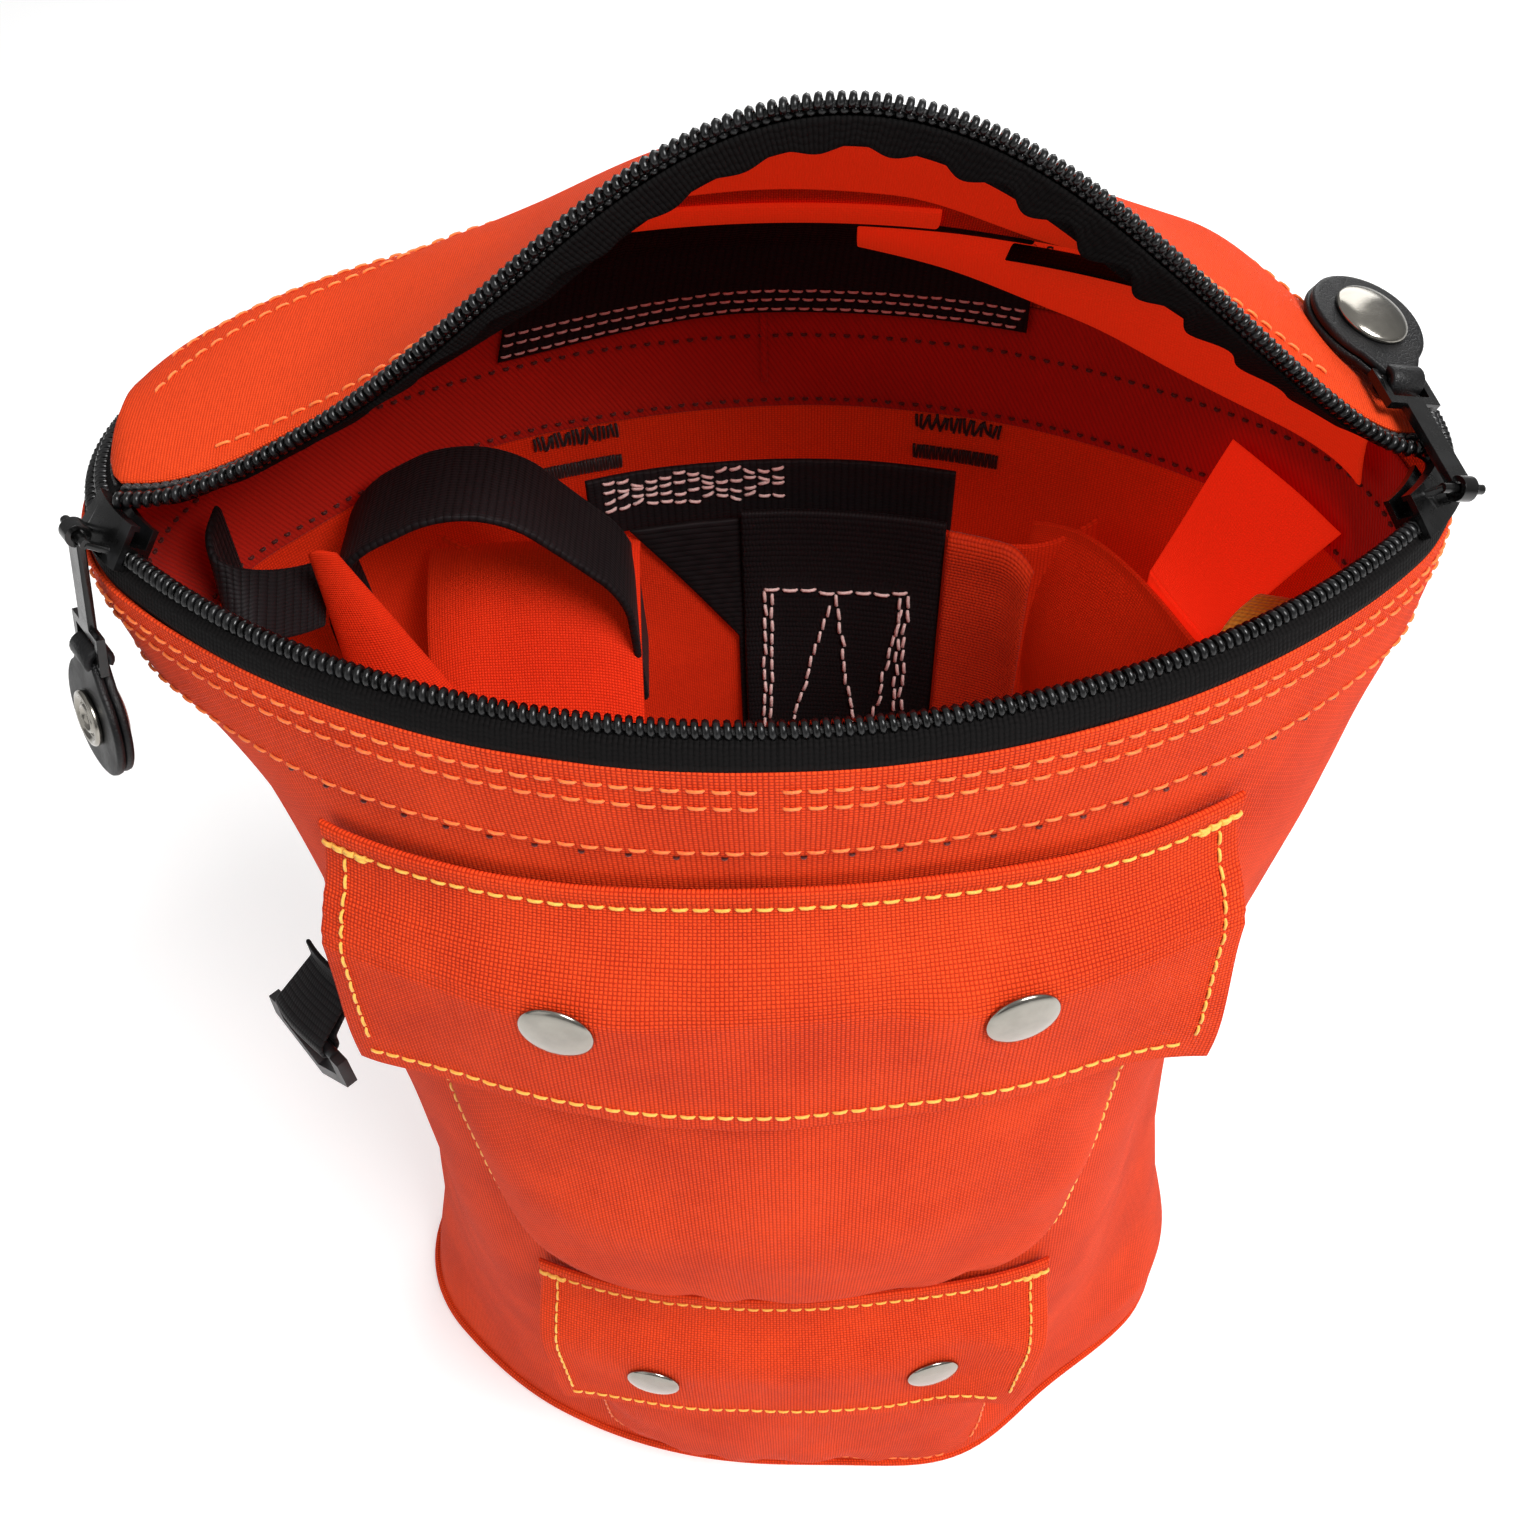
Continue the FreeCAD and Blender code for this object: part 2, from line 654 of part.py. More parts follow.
def pin_point(side):
    """Middle of the bail's bar, which the puller hangs on."""
    s, z = zip_point(7.0, 0.0 if side > 0 else 2.0)
    a = radians(slider_angle(side))
    centre = RIGHT_C if side > 0 else LEFT_C
    return centre + V((END_R + s) * cos(a), (END_R + s) * sin(a), z)


def puller_frame(side):
    """(length direction, hinge axis, face normal) of a puller at rest."""
    a = radians(slider_angle(side))
    if side < 0:
        tilt = radians(LEFT_TILT)
        along = V(sin(tilt) * cos(a), sin(tilt) * sin(a), -cos(tilt))
        axis = V(-sin(a), cos(a), 0)
    else:
        rise = radians(RIGHT_RISE)
        roll = radians(RIGHT_ROLL)
        turn = radians(RIGHT_TURN)
        along = V(-sin(turn) * cos(rise), cos(turn) * cos(rise), sin(rise))
        level = V(cos(turn), sin(turn), 0)
        axis = level * cos(roll) - level.cross(along) * sin(roll)
    return along.normalize(), axis.normalize(), axis.cross(along).normalize()


def placed(shape, side):
    """Moves a shape from the puller's frame (X along its axis, Y its length, Z its face) into place."""
    along, axis, normal = puller_frame(side)
    pin = pin_point(side)
    m = FreeCAD.Matrix(axis.x, along.x, normal.x, pin.x, axis.y, along.y, normal.y, pin.y,
                       axis.z, along.z, normal.z, pin.z, 0, 0, 0, 1)
    return shape.transformed(m)


def make_slider(side):
    """Slider with its bail: a bar on two posts."""
    bar = Part.makeCylinder(0.9, 2 * BAIL_HALF + 1.2, V(-BAIL_HALF - 0.6, 0, 0), X_AXIS)
    bar = placed(bar, side)
    _, axis, _ = puller_frame(side)
    s, z = zip_point(2.6, 0.0 if side > 0 else 2.0)
    a = radians(slider_angle(side))
    centre = RIGHT_C if side > 0 else LEFT_C
    foot = centre + V((END_R + s) * cos(a), (END_R + s) * sin(a), z)
    pin = pin_point(side)
    posts = []
    for t in (-BAIL_HALF, BAIL_HALF):
        low = foot + axis * t
        high = pin + axis * t
        posts.append(Part.makeCylinder(0.8, (high - low).Length, low, high - low))
    return fused([slider_body(side), bar] + posts)


def make_puller(side):
    """Flat bar with a round eye at the bail and a window with a round end bar for the leather."""
    eye = Part.makeCylinder(2.3, 3.0, V(-1.5, 0, 0), X_AXIS)
    bar = Part.makeBox(4.4, PULLER_LEN - 6.4, 1.6, V(-2.2, 1.2, -0.8))
    end = Part.makeBox(11.6, 8.4, 1.6, V(-5.8, PULLER_LEN - 6.4, -0.8))
    window = Part.makeBox(8.4, 4.2, 4, V(-4.2, PULLER_LEN - 4.6, -2))
    end_cut = Part.makeBox(8.4, 4, 4, V(-4.2, PULLER_LEN - 1.0, -2))
    end_bar = Part.makeCylinder(0.95, 9.4, V(-4.7, PULLER_LEN, 0), X_AXIS)
    hole = Part.makeCylinder(1.3, 6, V(-3, 0, 0), X_AXIS)
    shape = fused([eye, bar, end]).cut(window).cut(end_cut).fuse(end_bar).cut(hole)
    return placed(shape.removeSplitter(), side)


def make_tab(side):
    """Leather strap folded round the puller's end bar and snapped to itself."""
    y0 = PULLER_LEN
    roll = Part.makeCylinder(2.9, 7.4, V(-3.7, y0, 0), X_AXIS)
    neck = Part.makeBox(7.4, TAB_CAP - 4, TAB_T, V(-3.7, y0 + 1.6, -TAB_T / 2))
    pad = Part.makeCylinder(TAB_R, TAB_T, V(0, y0 + TAB_CAP, -TAB_T / 2))
    hole = Part.makeCylinder(1.3, 8, V(-4, y0, 0), X_AXIS)
    room = Part.makeBox(14, 3.2 + 2.9, 8, V(-7, y0 + 2.95, -4)).cut(Part.makeBox(7.4, 20, 9, V(-3.7, y0, -4.5)))
    return placed(fused([roll, neck, pad]).cut(hole).cut(room), side)


def make_tab_cap(side):
    cap = snap_cap()
    cap.translate(V(0, PULLER_LEN + TAB_CAP, TAB_T / 2 + 0.05))
    return placed(cap, side)


def make_tab_socket(side):
    ring = Part.makeCylinder(5.4, 1.4).cut(Part.makeCylinder(2.6, 1.0))
    ring.translate(V(0, PULLER_LEN + TAB_CAP, -TAB_T / 2 - 1.45))
    return placed(ring, side)


def pocket_nodes(name, pocket, flap):
    """A pocket, its flap and their snaps, turned together round the front."""
    nodes = {
        name + "_pocket": make_pocket(pocket),
        name + "_pocket_hem": make_pocket_hem(pocket),
        name + "_flap_hem": flap_hem(flap),
        name + "_snap_studs": each_side(stud_at(flap, pocket), flap),
        name + "_flap": make_flap(flap, pocket),
        name + "_snap_sockets": each_side(socket_at(flap, pocket), flap),
        name + "_snap_caps": each_side(cap_at(flap, pocket), flap),
    }
    for shape in nodes.values():
        shape.rotate(FRONT_C, Z_AXIS, pocket["turn"])
    return nodes


def all_nodes():
    facing_front, facing_back = make_rim_facings()
    nodes = {
        "front_panel": make_front_panel(),
        "back_panel": make_back_panel(),
        "base_panel": make_base_panel(),
        "base_board": make_base_board(),
        "base_binding": make_base_binding(),
        "side_seam_tapes": make_side_seam_tapes(),
        "rim_facing_front": facing_front,
        "rim_facing_back": facing_back,
        "bottom_zip_tape": make_bottom_tape(),
        "bottom_zip_coil": make_bottom_coil(),
        "zip_end_tabs": make_zip_end_tabs(),
        "lid_hinge_strip": make_hinge_strip(),
        "organizer_panel": make_organizer_panel(),
        "organizer_dividers": make_organizer_dividers(),
        "box_stitch_webbing": make_box_stitch_webbing(),
        "orange_band": make_orange_band(),
        "diagonal_webbing": make_diagonal_webbing(),
        "left_loop_webbing": make_left_loop_webbing(),
        "left_end_webbing": make_left_end_webbing(),
        "orange_fold": make_orange_fold(),
        "yellow_loop": make_yellow_loop(),
        "right_pouch": make_right_pouch(),
        "belt_loop_left": belt_loop(-LOOP_X),
        "belt_loop_right": belt_loop(LOOP_X),
        "back_centre_webbing": make_back_centre_webbing(),
        "bar_tacks": make_bar_tacks(),
        "side_ring_loop": make_ring_loop(),
        "side_ring": make_side_ring(),
        "lid_panel": make_lid_panel(),
        "lid_hem": make_lid_hem(),
        "lid_zip_tape": make_lid_tape(),
        "lid_zip_coil": make_lid_coil(),
    }
    nodes.update(pocket_nodes("upper", UPPER, UPPER_FLAP))
    nodes.update(pocket_nodes("lower", LOWER, LOWER_FLAP))
    for name, side in (("left", -1), ("right", 1)):
        nodes["slider_" + name] = make_slider(side)
        nodes["puller_" + name] = make_puller(side)
        nodes["tab_" + name] = make_tab(side)
        nodes["tab_cap_" + name] = make_tab_cap(side)
        nodes["tab_socket_" + name] = make_tab_socket(side)
    return nodes


os.makedirs("parts", exist_ok=True)
for node, shape in all_nodes().items():
    bad = not shape.isValid() or not shape.Solids or shape.Volume <= 0
    print(node, len(shape.Solids), round(shape.Volume, 1), "BAD" if bad else "")
    solid_list(shape).exportStep(os.path.join("parts", node + ".step"))
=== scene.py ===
"""Looks for the zip-topped oval tool bucket bag.

The CAD model is the frame. Shapes here are worked out in millimetres and turned into metres in mesh_object().
The bag's plan is an oval of four arcs; wall(l, z, s) is the point l along it, z up and s outside it.
"""

from math import acos, asin, atan2, cos, exp, hypot, pi, radians, sin, sqrt, tan

import bmesh
import bpy
import numpy as np
from mathutils import Matrix, Vector, noise

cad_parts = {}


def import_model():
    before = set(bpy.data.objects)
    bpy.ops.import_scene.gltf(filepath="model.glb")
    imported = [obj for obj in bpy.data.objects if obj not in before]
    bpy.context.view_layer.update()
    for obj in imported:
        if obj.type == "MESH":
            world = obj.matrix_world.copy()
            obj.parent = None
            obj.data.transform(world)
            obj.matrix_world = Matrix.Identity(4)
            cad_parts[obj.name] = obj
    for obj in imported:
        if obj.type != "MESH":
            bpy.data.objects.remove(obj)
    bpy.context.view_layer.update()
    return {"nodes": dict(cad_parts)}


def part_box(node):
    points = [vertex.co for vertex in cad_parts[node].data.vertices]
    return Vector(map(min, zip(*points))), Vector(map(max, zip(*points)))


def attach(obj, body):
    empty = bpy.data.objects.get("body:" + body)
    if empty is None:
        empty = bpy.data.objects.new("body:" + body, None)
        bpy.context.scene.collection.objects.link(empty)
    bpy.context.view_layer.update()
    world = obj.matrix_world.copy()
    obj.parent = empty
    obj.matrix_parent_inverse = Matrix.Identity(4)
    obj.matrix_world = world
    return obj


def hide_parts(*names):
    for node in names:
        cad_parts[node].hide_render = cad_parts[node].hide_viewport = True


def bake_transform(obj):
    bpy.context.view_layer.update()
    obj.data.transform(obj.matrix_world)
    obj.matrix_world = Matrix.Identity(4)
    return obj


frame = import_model()

MM = 0.001


def node_box(node):
    """(lowest, highest) corner of a CAD node in millimetres."""
    lo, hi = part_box(node)
    return np.array(lo) / MM, np.array(hi) / MM


# ---- driving sizes, mm ----
WALL_HI = node_box("back_panel")[1]
HALF_X, HALF_Y, WALL_TOP = (float(round(c, 1)) for c in WALL_HI)
RIM_Z = WALL_TOP + 8.0
END_R = 45.0
END_X = HALF_X - END_R
SIDE_R = (END_X ** 2 + HALF_Y ** 2 - END_R ** 2) / (2 * (HALF_Y - END_R))
SIDE_Y = SIDE_R - HALF_Y
SIDE_HALF = atan2(END_X, SIDE_Y)
END_HALF = pi / 2 - SIDE_HALF
SIDE_L = SIDE_R * SIDE_HALF
END_L = END_R * 2 * END_HALF
OVAL_L = 4 * SIDE_L + 2 * END_L
RIGHT_L = SIDE_L + END_L / 2
BACK_L = OVAL_L / 2
LEFT_L = OVAL_L - RIGHT_L

ZIP_S = -4.0
ZIP_END_X = 57.0
ZIP_PITCH = 1.75
CORD_V = 2.0
CORD_R = 0.62
SLIDER_REST = radians(38)
SLIDER_HALF = radians(10)
RING_A = radians(45)
RING_Z = 203.0
RING_L = LEFT_L + END_R * RING_A

ARCH_H = 66.0
ARCH_X = 112.0
ARCH_PEAK_X = 10.0
ARCH_RIGHT = 105.0
ARCH_RIGHT_POWER = 1.3
ARCH_LEFT = 124.0
ARCH_LEFT_POWER = 2.1
ARCH_Y = -19.0
LID_Z = 365.6
LID_INSET = 8.5
HINGE_X = 54.0

ROW_S = -30.0
ROW_R = SIDE_R + ROW_S
ROW_TOP = 300.0
ROW_BOTTOM = 150.0
ROW_HALF = 70.0
STRAP_X = (-7, 43)
STRAP_Z = (176, 306)
DARK_X = (-42, 43)
DARK_Z = (299, 316)
BAND_X = (43.5, 63.5)
BAND_TOP = 303.0
SLANT_Z = (303, 212)
LOOP_X = 48.0
LOOP_W = 25.0
LOOP_TOP = 314.0
LOOP_BOTTOM = 214.0
LOOP_STAND = 11.0

UPPER = {"shift": SIDE_R * radians(0.4), "top": 296.2, "bottom": 146.0,
         "half_top": 88.0, "half_bottom": 66.0,
         "bulge": ((296.2, 7.0), (262.0, 9.0), (205.0, 17.0), (170.0, 14.0), (146.0, 2.2))}
LOWER = {"shift": SIDE_R * radians(0.4), "top": 120.0, "bottom": 12.0,
         "half_top": 66.0, "half_bottom": 60.0,
         "bulge": ((120.0, 7.0), (95.0, 8.5), (60.0, 10.5), (30.0, 9.0), (12.0, 2.2))}
UPPER_FLAP = {"top": 314.0, "bottom": 258.0, "half": 90.0, "cap_x": 40.5, "cap_z": 290.5,
              "lift": (2.5, 6.0), "taper": (2.0, 6.0), "drop": (4.5, 6.0), "rise": 2.0}
LOWER_FLAP = {"top": 139.0, "bottom": 85.0, "half": 69.0, "cap_x": 36.0, "cap_z": 108.0,
              "lift": (3.0, 3.0), "taper": (5.5, 10.0), "drop": (6.0, 6.0), "rise": 0.0}
FLAP_T = 1.4
FLAP_FOLD = 8.0
CAP_R = 7.5
LATHE_SIDES = 48

PULLER_LEN = 26.0
TAB_CAP = 15.0
TAB_R = 12.0
NECK = 3.8
TAB_T = 3.4
ROLL_R = (2.9, 1.35)
RIGHT_RISE = 12.0
RIGHT_ROLL = 16.0
RIGHT_TURN = 12.0
LEFT_TILT = 14.0

RIM_HOLES_DOWN = 25.6
FACING_ZS = (314.0, 346.0)
# Heights of the glowing sheet that paints light on the inner wall.
GLOW_SHEET_ZS = (200, 316)
HEM_TOP = 24.0
CAP_STAND = 4.25
BACK_STRAP_ZS = (334, 40)
RING_WEB_HALF = 9.5

# Distance between the points of a stitched line.
WALK_STEP = 0.8
# Threads: length of a stitch with its gap, the gap, the thread's radius and how far it strays.
RIM_STITCH = dict(pitch=4.2, gap=1.2, radius=0.32)
RIM_HOLES = dict(pitch=8.4, gap=7.5, radius=0.28)
FACING_HOLES = dict(pitch=3.4, gap=2.3, radius=0.42)
RIM_CHAIN = dict(pitch=1.75, gap=0.35, radius=0.36)
LID_STITCH = dict(pitch=3.8, gap=1.0, radius=0.3)
HINGE_STITCH = dict(pitch=3.2, gap=0.9, radius=0.3)
POCKET_STITCH = dict(pitch=3.9, gap=1.0, radius=0.33)
FLAP_STITCH = dict(pitch=3.8, gap=0.9, radius=0.36)
BOX_STITCH = dict(pitch=4.6, gap=1.0, radius=0.46, wander=0.5)
DARK_STITCH = dict(pitch=3.4, gap=0.8, radius=0.42, wander=0.9)
BELT_STITCH = dict(pitch=2.8, gap=0.5, radius=0.34)
STRAP_STITCH = dict(pitch=3.6, gap=0.8, radius=0.34)
LID_CHAIN = dict(pitch=1.75, gap=0.35, radius=0.34)
FLAP_TACK = dict(pitch=2.6, gap=0.2, radius=0.42, lift=0.25)


# ---- small helpers ----

def smooth(a, b, x):
    """0 below a, 1 above b, and an even curve between them."""
    t = min(1.0, max(0.0, (x - a) / (b - a)))
    return t * t * (3 - 2 * t)


def lerp(a, b, t):
    return a + (b - a) * t


def bell(x, width):
    return exp(-(x / width) ** 2)


def rough(x, y, z, scale, seed=0.0):
    """Soft noise from -1 to 1 whose lumps are about scale mm across."""
    return noise.noise(Vector((x / scale + seed, y / scale - seed, z / scale + 2 * seed)))


def unit(v):
    v = np.asarray(v, float)
    return v / max(np.linalg.norm(v), 1e-12)


ARCS = (
    (SIDE_L, 0.0, SIDE_Y, SIDE_R, -pi / 2),
    (END_L, END_X, 0.0, END_R, -END_HALF),
    (2 * SIDE_L, 0.0, -SIDE_Y, SIDE_R, pi / 2 - SIDE_HALF),
    (END_L, -END_X, 0.0, END_R, pi - END_HALF),
    (SIDE_L, 0.0, SIDE_Y, SIDE_R, -pi / 2 - SIDE_HALF),
)


def oval(l, s=0.0):
    """(x, y) of the point l along the oval from the middle of the front, going right, and s outside it."""
    l = l % OVAL_L
    for arc in ARCS:
        if l <= arc[0] or arc is ARCS[-1]:
            break
        l -= arc[0]
    _, cx, cy, radius, start = arc
    a = start + l / radius
    return cx + (radius + s) * cos(a), cy + (radius + s) * sin(a)


def outward(l):
    """Outward direction of the oval at l."""
    a = np.array(oval(l, 1.0)) - np.array(oval(l, 0.0))
    return np.array([a[0], a[1], 0.0])


def arc_l(x):
    """Length along the oval from the middle of the front to x."""
    return SIDE_R * asin(x / SIDE_R)


def near_l(l, middle):
    """Signed distance along the oval from middle."""
    d = (l - middle) % OVAL_L
    return d - OVAL_L if d > OVAL_L / 2 else d


# Heights, and how far the end wall stands outside the oval at each.
LEFT_DENT = ((0, 20, 60, 105, 150, 205, 255, 300, 330, 348),
             (-2.0, -6.0, -14.0, -20.0, -21.5, -19.5, -17.5, -11.0, -1.0, 1.0))
RIGHT_DENT = ((0, 8, 30, 60, 100, 150, 210, 270, 320),
              (3.0, 5.5, 5.0, -3.0, -10.0, -14.5, -10.0, -4.0, 0.0))
# Bulges: how far out, the middle along the oval and its width, the middle height and its width.
BULGES = (
    (7.0, RIGHT_L - 94, 30, 105, 62),
    (3.5, RIGHT_L - 112, 34, 14, 26),
    (5.5, 54.0, 28, 9, 15),
)


def sag(l, z):
    """How far the soft wall stands outside the oval at (l, z): dents and folds, none at the rim."""
    x, y = oval(l)
    from_left = near_l(l, LEFT_L)
    from_right = near_l(l, RIGHT_L)
    window = smooth(6, 45, z) * (1 - smooth(296, 340, z))
    calm = 1 - 0.65 * bell(near_l(l, 0.0), 95)
    folds = 2.0 * rough(x, y, z * 0.6, 62, 3.1) + 0.8 * rough(x, y, z * 0.5, 26, 7.7)
    pulled = 1 - 0.55 * bell(from_left - near_l(RING_L, LEFT_L), 20) * bell(z - RING_Z - 14, 24)
    left_end = pulled * (1 - smooth(22, 84, from_left)) * (1 - smooth(25, 105, -from_left))
    right_end = (1 - smooth(25, 100, from_right)) * smooth(-82, -30, from_right)
    left = float(np.interp(z, *LEFT_DENT)) * left_end
    right = float(np.interp(z, *RIGHT_DENT)) * right_end
    right += sum(out * bell(near_l(l, at), wide) * bell(z - mid, tall) for out, at, wide, mid, tall in BULGES)
    flat = -3.6 * bell(near_l(l, 6.0), 62) * bell(z - 314, 24) * (1 - smooth(330, 350, z))
    grain = 0.35 * rough(x, y, z, 40, 1.3) * smooth(2, 20, z)
    return window * (calm * folds - 0.6) + left + right + flat + grain


def wall(l, z, s=0.0):
    x, y = oval(l, s + sag(l, z))
    return x, y, z


# ---- meshes ----

class Parts:
    """Collects loose pieces of one mesh, in millimetres."""

    def __init__(self):
        self.verts = []
        self.faces = []
        self.uvs = []

    def add(self, verts, faces, uvs=None):
        base = len(self.verts)
        self.verts.extend(verts)
        self.faces.extend([tuple(base + i for i in face) for face in faces])
        self.uvs.extend(uvs if uvs is not None else [(0.0, 0.0)] * len(verts))


def add_object(name, data):
    obj = bpy.data.objects.new(name, data)
    bpy.context.scene.collection.objects.link(obj)
    return obj


def carry_join(mesh, uv):
    """Carries the texture over the place where a ring of cloth round the bag closes."""
    top = float(uv[:, 0].max())
    if top * 100 < OVAL_L * 0.7:
        return
    for face in mesh.polygons:
        us = uv[face.loop_start:face.loop_start + face.loop_total, 0]
        if us.max() - us.min() > top / 2:
            us[us < top / 2] += top + 0.02


def mesh_object(name, parts, material, body, replaces=()):
    """Turns collected parts into an object that rides on a body."""
    mesh = bpy.data.meshes.new(name)
    mesh.from_pydata([tuple(MM * float(c) for c in v) for v in parts.verts], [], parts.faces)
    layer = mesh.uv_layers.new(name="UVMap")
    corner = np.zeros(len(mesh.loops), np.int32)
    mesh.loops.foreach_get("vertex_index", corner)
    uv = np.array(parts.uvs, np.float32)[corner] * 0.01
    carry_join(mesh, uv)
    layer.data.foreach_set("uv", uv.ravel())
    mesh.polygons.foreach_set("use_smooth", [True] * len(mesh.polygons))
    mesh.materials.append(material)
    obj = add_object(name, mesh)
    if body:
        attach(obj, body)
    if replaces:
        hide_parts(*replaces)
    return obj


def ring_faces(rings, sides):
    """Faces between rings of vertices that are numbered ring by ring."""
    faces = []
    for i in range(rings - 1):
        for k in range(sides):
            n = (k + 1) % sides
            faces.append((i * sides + k, i * sides + n, (i + 1) * sides + n, (i + 1) * sides + k))
    return faces


def tube_mesh(points, radius, sides=6, side_dir=None):
    """(verts, faces) of a capped tube along points; radius may be a list."""
    points = [np.asarray(p, float) for p in points]
    radii = radius if hasattr(radius, "__len__") else [radius] * len(points)
    verts = []
    ref = None
    for i, p in enumerate(points):
        t = unit(points[min(i + 1, len(points) - 1)] - points[max(i - 1, 0)])
        if ref is None:
            guess = np.array(side_dir if side_dir is not None else (0.0, 0.0, 1.0))
            if abs(np.dot(guess, t)) > 0.95:
                guess = np.array((1.0, 0.0, 0.0))
            ref = guess
        a = unit(ref - t * np.dot(ref, t))
        ref = a
        b = np.cross(t, a)
        for k in range(sides):
            w = 2 * pi * k / sides
            verts.append(p + radii[i] * (a * cos(w) + b * sin(w)))
    faces = ring_faces(len(points), sides)
    last = (len(points) - 1) * sides
    faces.append(tuple(reversed(range(sides))))
    faces.append(tuple(last + k for k in range(sides)))
    return verts, faces


class Path:
    """A line through points, read by the distance along it."""

    def __init__(self, points):
        self.points = np.array(points, float)
        steps = np.linalg.norm(np.diff(self.points, axis=0), axis=1)
        self.run = np.concatenate([[0.0], np.cumsum(steps)])
        self.length = float(self.run[-1])

    def at(self, d):
        return [float(np.interp(d, self.run, column)) for column in self.points.T]


class Surface:
    """A sheet of cloth given by place(u, v) in mm, u and v from 0 to 1. u right and v up face outward."""

    def __init__(self, place, thick=1.6, loop=False):
        self.place = place
        self.thick = thick
        self.loop = loop

    def point(self, u, v):
        return np.array(self.place(u, v), float)

    def normal(self, u, v):
        e = 2e-3
        u0, u1 = (u - e, u + e) if self.loop else (max(0.0, u - e), min(1.0, u + e))
        v0, v1 = max(0.0, v - e), min(1.0, v + e)
        du = self.point(u1, v) - self.point(u0, v)
        dv = self.point(u, v1) - self.point(u, v0)
        return unit(np.cross(du, dv))

    def side(self, u, v, lift=0.0, face=1):
        """Point of the outer (face 1) or inner (face -1) side, lifted off it."""
        return self.point(u, v) + self.normal(u, v) * face * (self.thick / 2 + lift)


def spaced(count, length, edge, loop=False):
    """Values from 0 to 1, closer together near the ends so that a rounded edge shows."""
    if loop:
        return [i / count for i in range(count)]
    e = min(edge / max(length, 1e-6), 0.1)
    ends = [0.0, 0.12 * e, 0.45 * e]
    middle = [e + (1 - 2 * e) * i / count for i in range(count + 1)]
    return ends + middle + [1 - x for x in reversed(ends)]


def cloth_parts(surf, nu, nv, edge=1.0):
    """Closed slab round a surface, with rounded edges."""
    middle = [surf.point(i / 8, 0.5) for i in range(9)]
    across = [surf.point(0.5, i / 8) for i in range(9)]
    lu = sum(np.linalg.norm(b - a) for a, b in zip(middle, middle[1:]))
    lv = sum(np.linalg.norm(b - a) for a, b in zip(across, across[1:]))
    us = spaced(nu, lu, edge, surf.loop)
    vs = spaced(nv, lv, edge)
    grid = np.array([[surf.point(u, v) for v in vs] for u in us])
    gu, gv = np.gradient(grid, axis=0), np.gradient(grid, axis=1)
    if surf.loop:
        gu = np.roll(grid, -1, axis=0) - np.roll(grid, 1, axis=0)
    normal = np.cross(gu, gv)
    normal /= np.maximum(np.linalg.norm(normal, axis=2, keepdims=True), 1e-9)

    def rim(value, length):
        d = min(value, 1 - value) * length
        return sqrt(max(0.0, 1 - (1 - min(1.0, d / edge)) ** 2))
    half_u = np.array([1.0 if surf.loop else rim(u, lu) for u in us])
    half_v = np.array([rim(v, lv) for v in vs])
    half = surf.thick / 2 * np.maximum(np.minimum.outer(half_u, half_v), 0.04)
    n, m = len(us), len(vs)
    verts = list((grid + normal * half[..., None]).reshape(-1, 3)) + list(
        (grid - normal * half[..., None]).reshape(-1, 3))
    uvs = [(u * lu, v * lv) for u in us for v in vs] * 2
    faces = []
    inner = n * m
    spans = n if surf.loop else n - 1
    for i in range(spans):
        k = (i + 1) % n
        for j in range(m - 1):
            a, b, c, d = i * m + j, k * m + j, k * m + j + 1, i * m + j + 1
            faces.append((a, b, c, d))
            faces.append((inner + d, inner + c, inner + b, inner + a))
        for j in (0, m - 1):
            a, b = i * m + j, k * m + j
            faces.append((inner + a, inner + b, b, a) if j == 0 else (a, b, inner + b, inner + a))
    if not surf.loop:
        for i in (0, n - 1):
            for j in range(m - 1):
                a, b = i * m + j, i * m + j + 1
                faces.append((a, b, inner + b, inner + a) if i == 0 else (inner + a, inner + b, b, a))
    return verts, faces, uvs


def cloths(name, surfs, nu, nv, material, body, replaces=(), edge=1.0):
    """Sheets of cloth as one object."""
    parts = Parts()
    for surf in surfs:
        parts.add(*cloth_parts(surf, nu, nv, edge))
    return mesh_object(name, parts, material, body, replaces)


def cloth(name, surf, *rest, **more):
    return cloths(name, [surf], *rest, **more)


def walk(surf, path, face=1):
    """Points and normals along a path of (u, v) corners on a surface, with the distance at each."""
    out, total, last = [], 0.0, None
    for (u0, v0), (u1, v1) in zip(path, path[1:]):
        length = max(np.linalg.norm(surf.point(u1, v1) - surf.point(u0, v0)), 1.0)
        count = max(2, int(length / WALK_STEP))
        for i in range(count + 1):
            u, v = lerp(u0, u1, i / count), lerp(v0, v1, i / count)
            p = surf.side(u, v, face=face)
            if last is not None:
                d = float(np.linalg.norm(p - last))
                if d < 1e-6:
                    continue
                total += d
            out.append((total, p, surf.normal(u, v) * face))
            last = p
    return out


